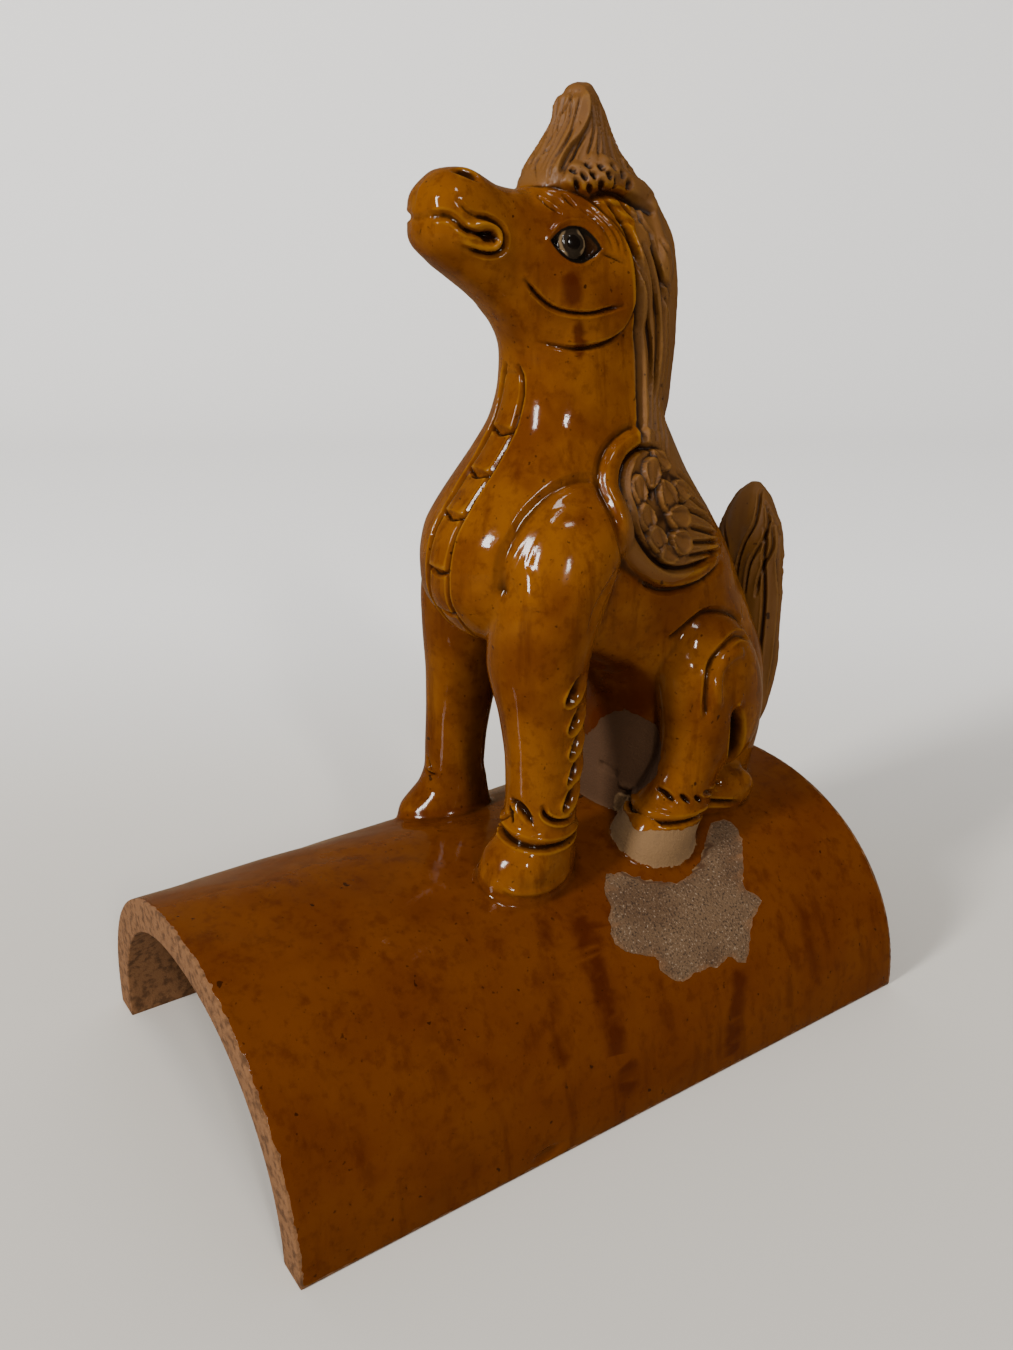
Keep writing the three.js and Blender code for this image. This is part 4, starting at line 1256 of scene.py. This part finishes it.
# Glaze
# Amber lead glaze over buff clay: thin and light on what stands proud, dark brown where it pools, specked
# with iron, streaked by runs, with bare clay where it never took or has worn away.
glaze = bpy.data.materials.new("amber_glaze")
glaze.use_nodes = True
tree = glaze.node_tree
shader = tree.nodes["Principled BSDF"]


def join(socket, value):
    """Links a socket, or sets it to a number or colour."""
    if isinstance(value, bpy.types.NodeSocket):
        tree.links.new(value, socket)
    else:
        socket.default_value = value


def stored_value(name):
    """What the firing stored on the points under a name."""
    made = tree.nodes.new("ShaderNodeAttribute")
    made.attribute_name = name
    return made.outputs["Fac"]


def sums(operation, a, b=0.0):
    """One sum of two values."""
    made = tree.nodes.new("ShaderNodeMath")
    made.operation = operation
    join(made.inputs[0], a)
    join(made.inputs[1], b)
    return made.outputs[0]


def ramp(value, low, high, to_low=0.0, to_high=1.0):
    """A value's smooth step between low and high."""
    made = tree.nodes.new("ShaderNodeMapRange")
    made.interpolation_type = "SMOOTHSTEP"
    join(made.inputs["Value"], value)
    made.inputs["From Min"].default_value = low
    made.inputs["From Max"].default_value = high
    made.inputs["To Min"].default_value = to_low
    made.inputs["To Max"].default_value = to_high
    return made.outputs["Result"]


def mixed(share, a, b):
    """Colour a, with a share of colour b over it."""
    made = tree.nodes.new("ShaderNodeMix")
    made.data_type = "RGBA"
    join(made.inputs[0], share)
    join(made.inputs[6], a)
    join(made.inputs[7], b)
    return made.outputs[2]


clay_place = tree.nodes.new("ShaderNodeTexCoord").outputs["Object"]


def noise(scale, detail=3.0, stretch=None, rough=0.5):
    """Cloudy variation over the clay, finer with scale."""
    vector = clay_place
    if stretch:
        mapping = tree.nodes.new("ShaderNodeMapping")
        mapping.inputs["Scale"].default_value = stretch
        join(mapping.inputs["Vector"], clay_place)
        vector = mapping.outputs["Vector"]
    made = tree.nodes.new("ShaderNodeTexNoise")
    join(made.inputs["Vector"], vector)
    made.inputs["Scale"].default_value = scale
    made.inputs["Detail"].default_value = detail
    made.inputs["Roughness"].default_value = rough
    return made.outputs["Fac"]


THIN_GLAZE = (0.270, 0.118, 0.0120, 1)
AMBER = (0.155, 0.0500, 0.0045, 1)
DEEP_AMBER = (0.090, 0.0220, 0.0010, 1)
TILE_AMBER = (0.084, 0.0178, 0.0005, 1)
POOLED_BROWN = (0.0120, 0.0034, 0.0006, 1)
# Also the colour of the shade painted under the belly.
RUN_RED_AND_SHADE = (0.044, 0.0068, 0.0005, 1)
HAIR_BROWN = (0.128, 0.056, 0.0110, 1)
BARE_CLAY = (0.170, 0.078, 0.031, 1)
# Dirt on bare clay, and the painted shade on the bare seat.
BARE_DIRT_AND_SHADE = (0.060, 0.027, 0.0110, 1)
RUBBED_CLAY = (0.165, 0.093, 0.040, 1)
GREY_CLAY = (0.118, 0.068, 0.034, 1)
GREY_PIT = (0.022, 0.013, 0.0075, 1)
GREY_GRAIN = (0.29, 0.215, 0.145, 1)
EYE_BLACK = (0.0045, 0.0028, 0.0018, 1)
EYE_CORNER = (0.028, 0.010, 0.0025, 1)
IRIS = (0.015, 0.0100, 0.0060, 1)
IRIS_RING = (0.130, 0.085, 0.042, 1)
GLAZE_ROUGHNESS = 0.07
DULL_ROUGHNESS = 0.15
HAIR_ROUGHNESS = 0.40
CLAY_ROUGHNESS = 0.9
GLAZE_IOR = 1.45
GLAZE_SPECULAR = 0.24
RIPPLE_HEIGHT = 0.00015
GRAIN_HEIGHT = 0.00035
GLAZE_THICKNESS = 0.00030
RAGGED_BY = 2.2

crest_height = stored_value("crest")
streaks = noise(170, detail=4, stretch=(1, 1, 0.14), rough=0.6)
mottle = noise(300, detail=4, rough=0.6)
broken_edge = ramp(noise(120, detail=4, stretch=(1, 1, 0.5)), 0.25, 0.6, 0.45, 1.15)
ragged_stain_and_shade = sums("MULTIPLY", stored_value("stain"), broken_edge)
iron_specks = noise(620, detail=2)
iron_spots = noise(260, detail=2)
colour = mixed(ramp(noise(46, detail=5, rough=0.55), 0.34, 0.68), AMBER, DEEP_AMBER)

# Each layer of the glaze: what shows it, where that begins and is full, how strong it gets, and its colour.
for shown_by, begins, full, strength, layer in (
    (stored_value("tile"), 0.2, 0.9, 0.75, TILE_AMBER),
    (streaks, 0.50, 0.72, 0.50, RUN_RED_AND_SHADE),
    (mottle, 0.50, 0.70, 0.36, RUN_RED_AND_SHADE),
    (crest_height, 0.7, 2.1, 0.50, THIN_GLAZE),
    (stored_value("hair"), 0.1, 0.9, 0.70, HAIR_BROWN),
    # The stain layer also lays the painted shade under the belly.
    (ragged_stain_and_shade, 0.1, 0.9, 0.85, RUN_RED_AND_SHADE),
    (stored_value("hollow"), 0.12, 0.95, 0.80, POOLED_BROWN),
    (crest_height, -0.5, -1.9, 0.50, POOLED_BROWN),
    (stored_value("cut"), 0.15, 0.95, 0.93, POOLED_BROWN),
    (iron_specks, 0.68, 0.75, 0.65, POOLED_BROWN),
    (iron_spots, 0.735, 0.76, 0.8, POOLED_BROWN),
):
    colour = mixed(ramp(shown_by, begins, full, 0, strength), colour, layer)

# The eye, by millimetres from the middle of the ball: iris, scratched ring and pupil between dark lids.
lid_share = stored_value("lid")
ball_share = stored_value("ball")
ball_side = stored_value("ball_across")
eye = mixed(ramp(ball_side, 3.4, 6.5), EYE_BLACK, EYE_CORNER)
eye = mixed(ramp(ball_share, 4.1, 3.8), eye, IRIS)
ring_outside = ramp(ball_share, 3.85, 3.55)
ring_inside = ramp(ball_share, 2.75, 3.15)
ring_ends = ramp(sums("ABSOLUTE", ball_side), 1.4, 2.3)
eye = mixed(sums("MULTIPLY", sums("MULTIPLY", ring_outside, ring_inside), ring_ends), eye, IRIS_RING)
eye = mixed(ramp(ball_share, 2.0, 1.7), eye, EYE_BLACK)
colour = mixed(ramp(lid_share, -0.16, -0.04), colour, EYE_BLACK)
colour = mixed(ramp(lid_share, 0.06, 0.16), colour, eye)

# Bare clay begins along a ragged edge. The worn patch is grey and gritty, the hoof rubbed to buff.
# The bare seat is painted dark brown as shade under the belly.
raggedness = sums("MULTIPLY", sums("SUBTRACT", noise(330, 4), 0.5), RAGGED_BY)
bare_edge = sums("ADD", stored_value("bare"), raggedness)
bare_share = ramp(bare_edge, -0.1, 0.1)
end_clay = mixed(ramp(noise(420, 5), 0.42, 0.68, 0, 0.8), BARE_CLAY, BARE_DIRT_AND_SHADE)
grit = noise(1500, 3, rough=0.6)
grey_clay = mixed(ramp(noise(80, 3), 0.35, 0.65, 0.1, 0.6), GREY_CLAY, BARE_DIRT_AND_SHADE)
grey_clay = mixed(ramp(grit, 0.53, 0.64, 0, 0.85), grey_clay, GREY_PIT)
grey_clay = mixed(ramp(grit, 0.40, 0.30, 0, 0.8), grey_clay, GREY_GRAIN)
clay_colour = mixed(stored_value("grey"), end_clay, grey_clay)
rubbed_clay_and_seat_shade = mixed(ramp(noise(260, 4), 0.5, 0.72, 0, 0.35), RUBBED_CLAY, GREY_CLAY)
# Low marks, on the seat, take the dark colour as painted shade.
rubbed_clay_and_seat_shade = mixed(ramp(stored_value("rubbed_and_seat_shade"), 0.75, 0.40, 0, 1.0), rubbed_clay_and_seat_shade, BARE_DIRT_AND_SHADE)
clay_colour = mixed(ramp(stored_value("rubbed_and_seat_shade"), 0.05, 0.3), clay_colour, rubbed_clay_and_seat_shade)
colour = mixed(bare_share, colour, clay_colour)
join(shader.inputs["Base Color"], colour)

gloss_varies = ramp(noise(90), 0.3, 0.7, GLAZE_ROUGHNESS, DULL_ROUGHNESS)
roughness = sums("ADD", gloss_varies, ramp(stored_value("hair"), 0, 1, 0, HAIR_ROUGHNESS))
join(shader.inputs["Roughness"], sums("MAXIMUM", roughness, ramp(bare_share, 0, 1, 0, CLAY_ROUGHNESS)))
shader.inputs["IOR"].default_value = GLAZE_IOR
shader.inputs["Specular IOR Level"].default_value = GLAZE_SPECULAR

ripple = sums("MULTIPLY", noise(150, 4), RIPPLE_HEIGHT)
grain = sums("MULTIPLY", sums("MULTIPLY", grit, bare_share), GRAIN_HEIGHT)
step_down = sums("MULTIPLY", bare_share, -GLAZE_THICKNESS)
bump = tree.nodes.new("ShaderNodeBump")
join(bump.inputs["Height"], sums("ADD", sums("ADD", ripple, grain), step_down))
bump.inputs["Distance"].default_value = 1.0
bump.inputs["Strength"].default_value = 1.0
join(shader.inputs["Normal"], bump.outputs["Normal"])
fired.materials.clear()
fired.materials.append(glaze)

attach(body, "root")
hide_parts(NODE)
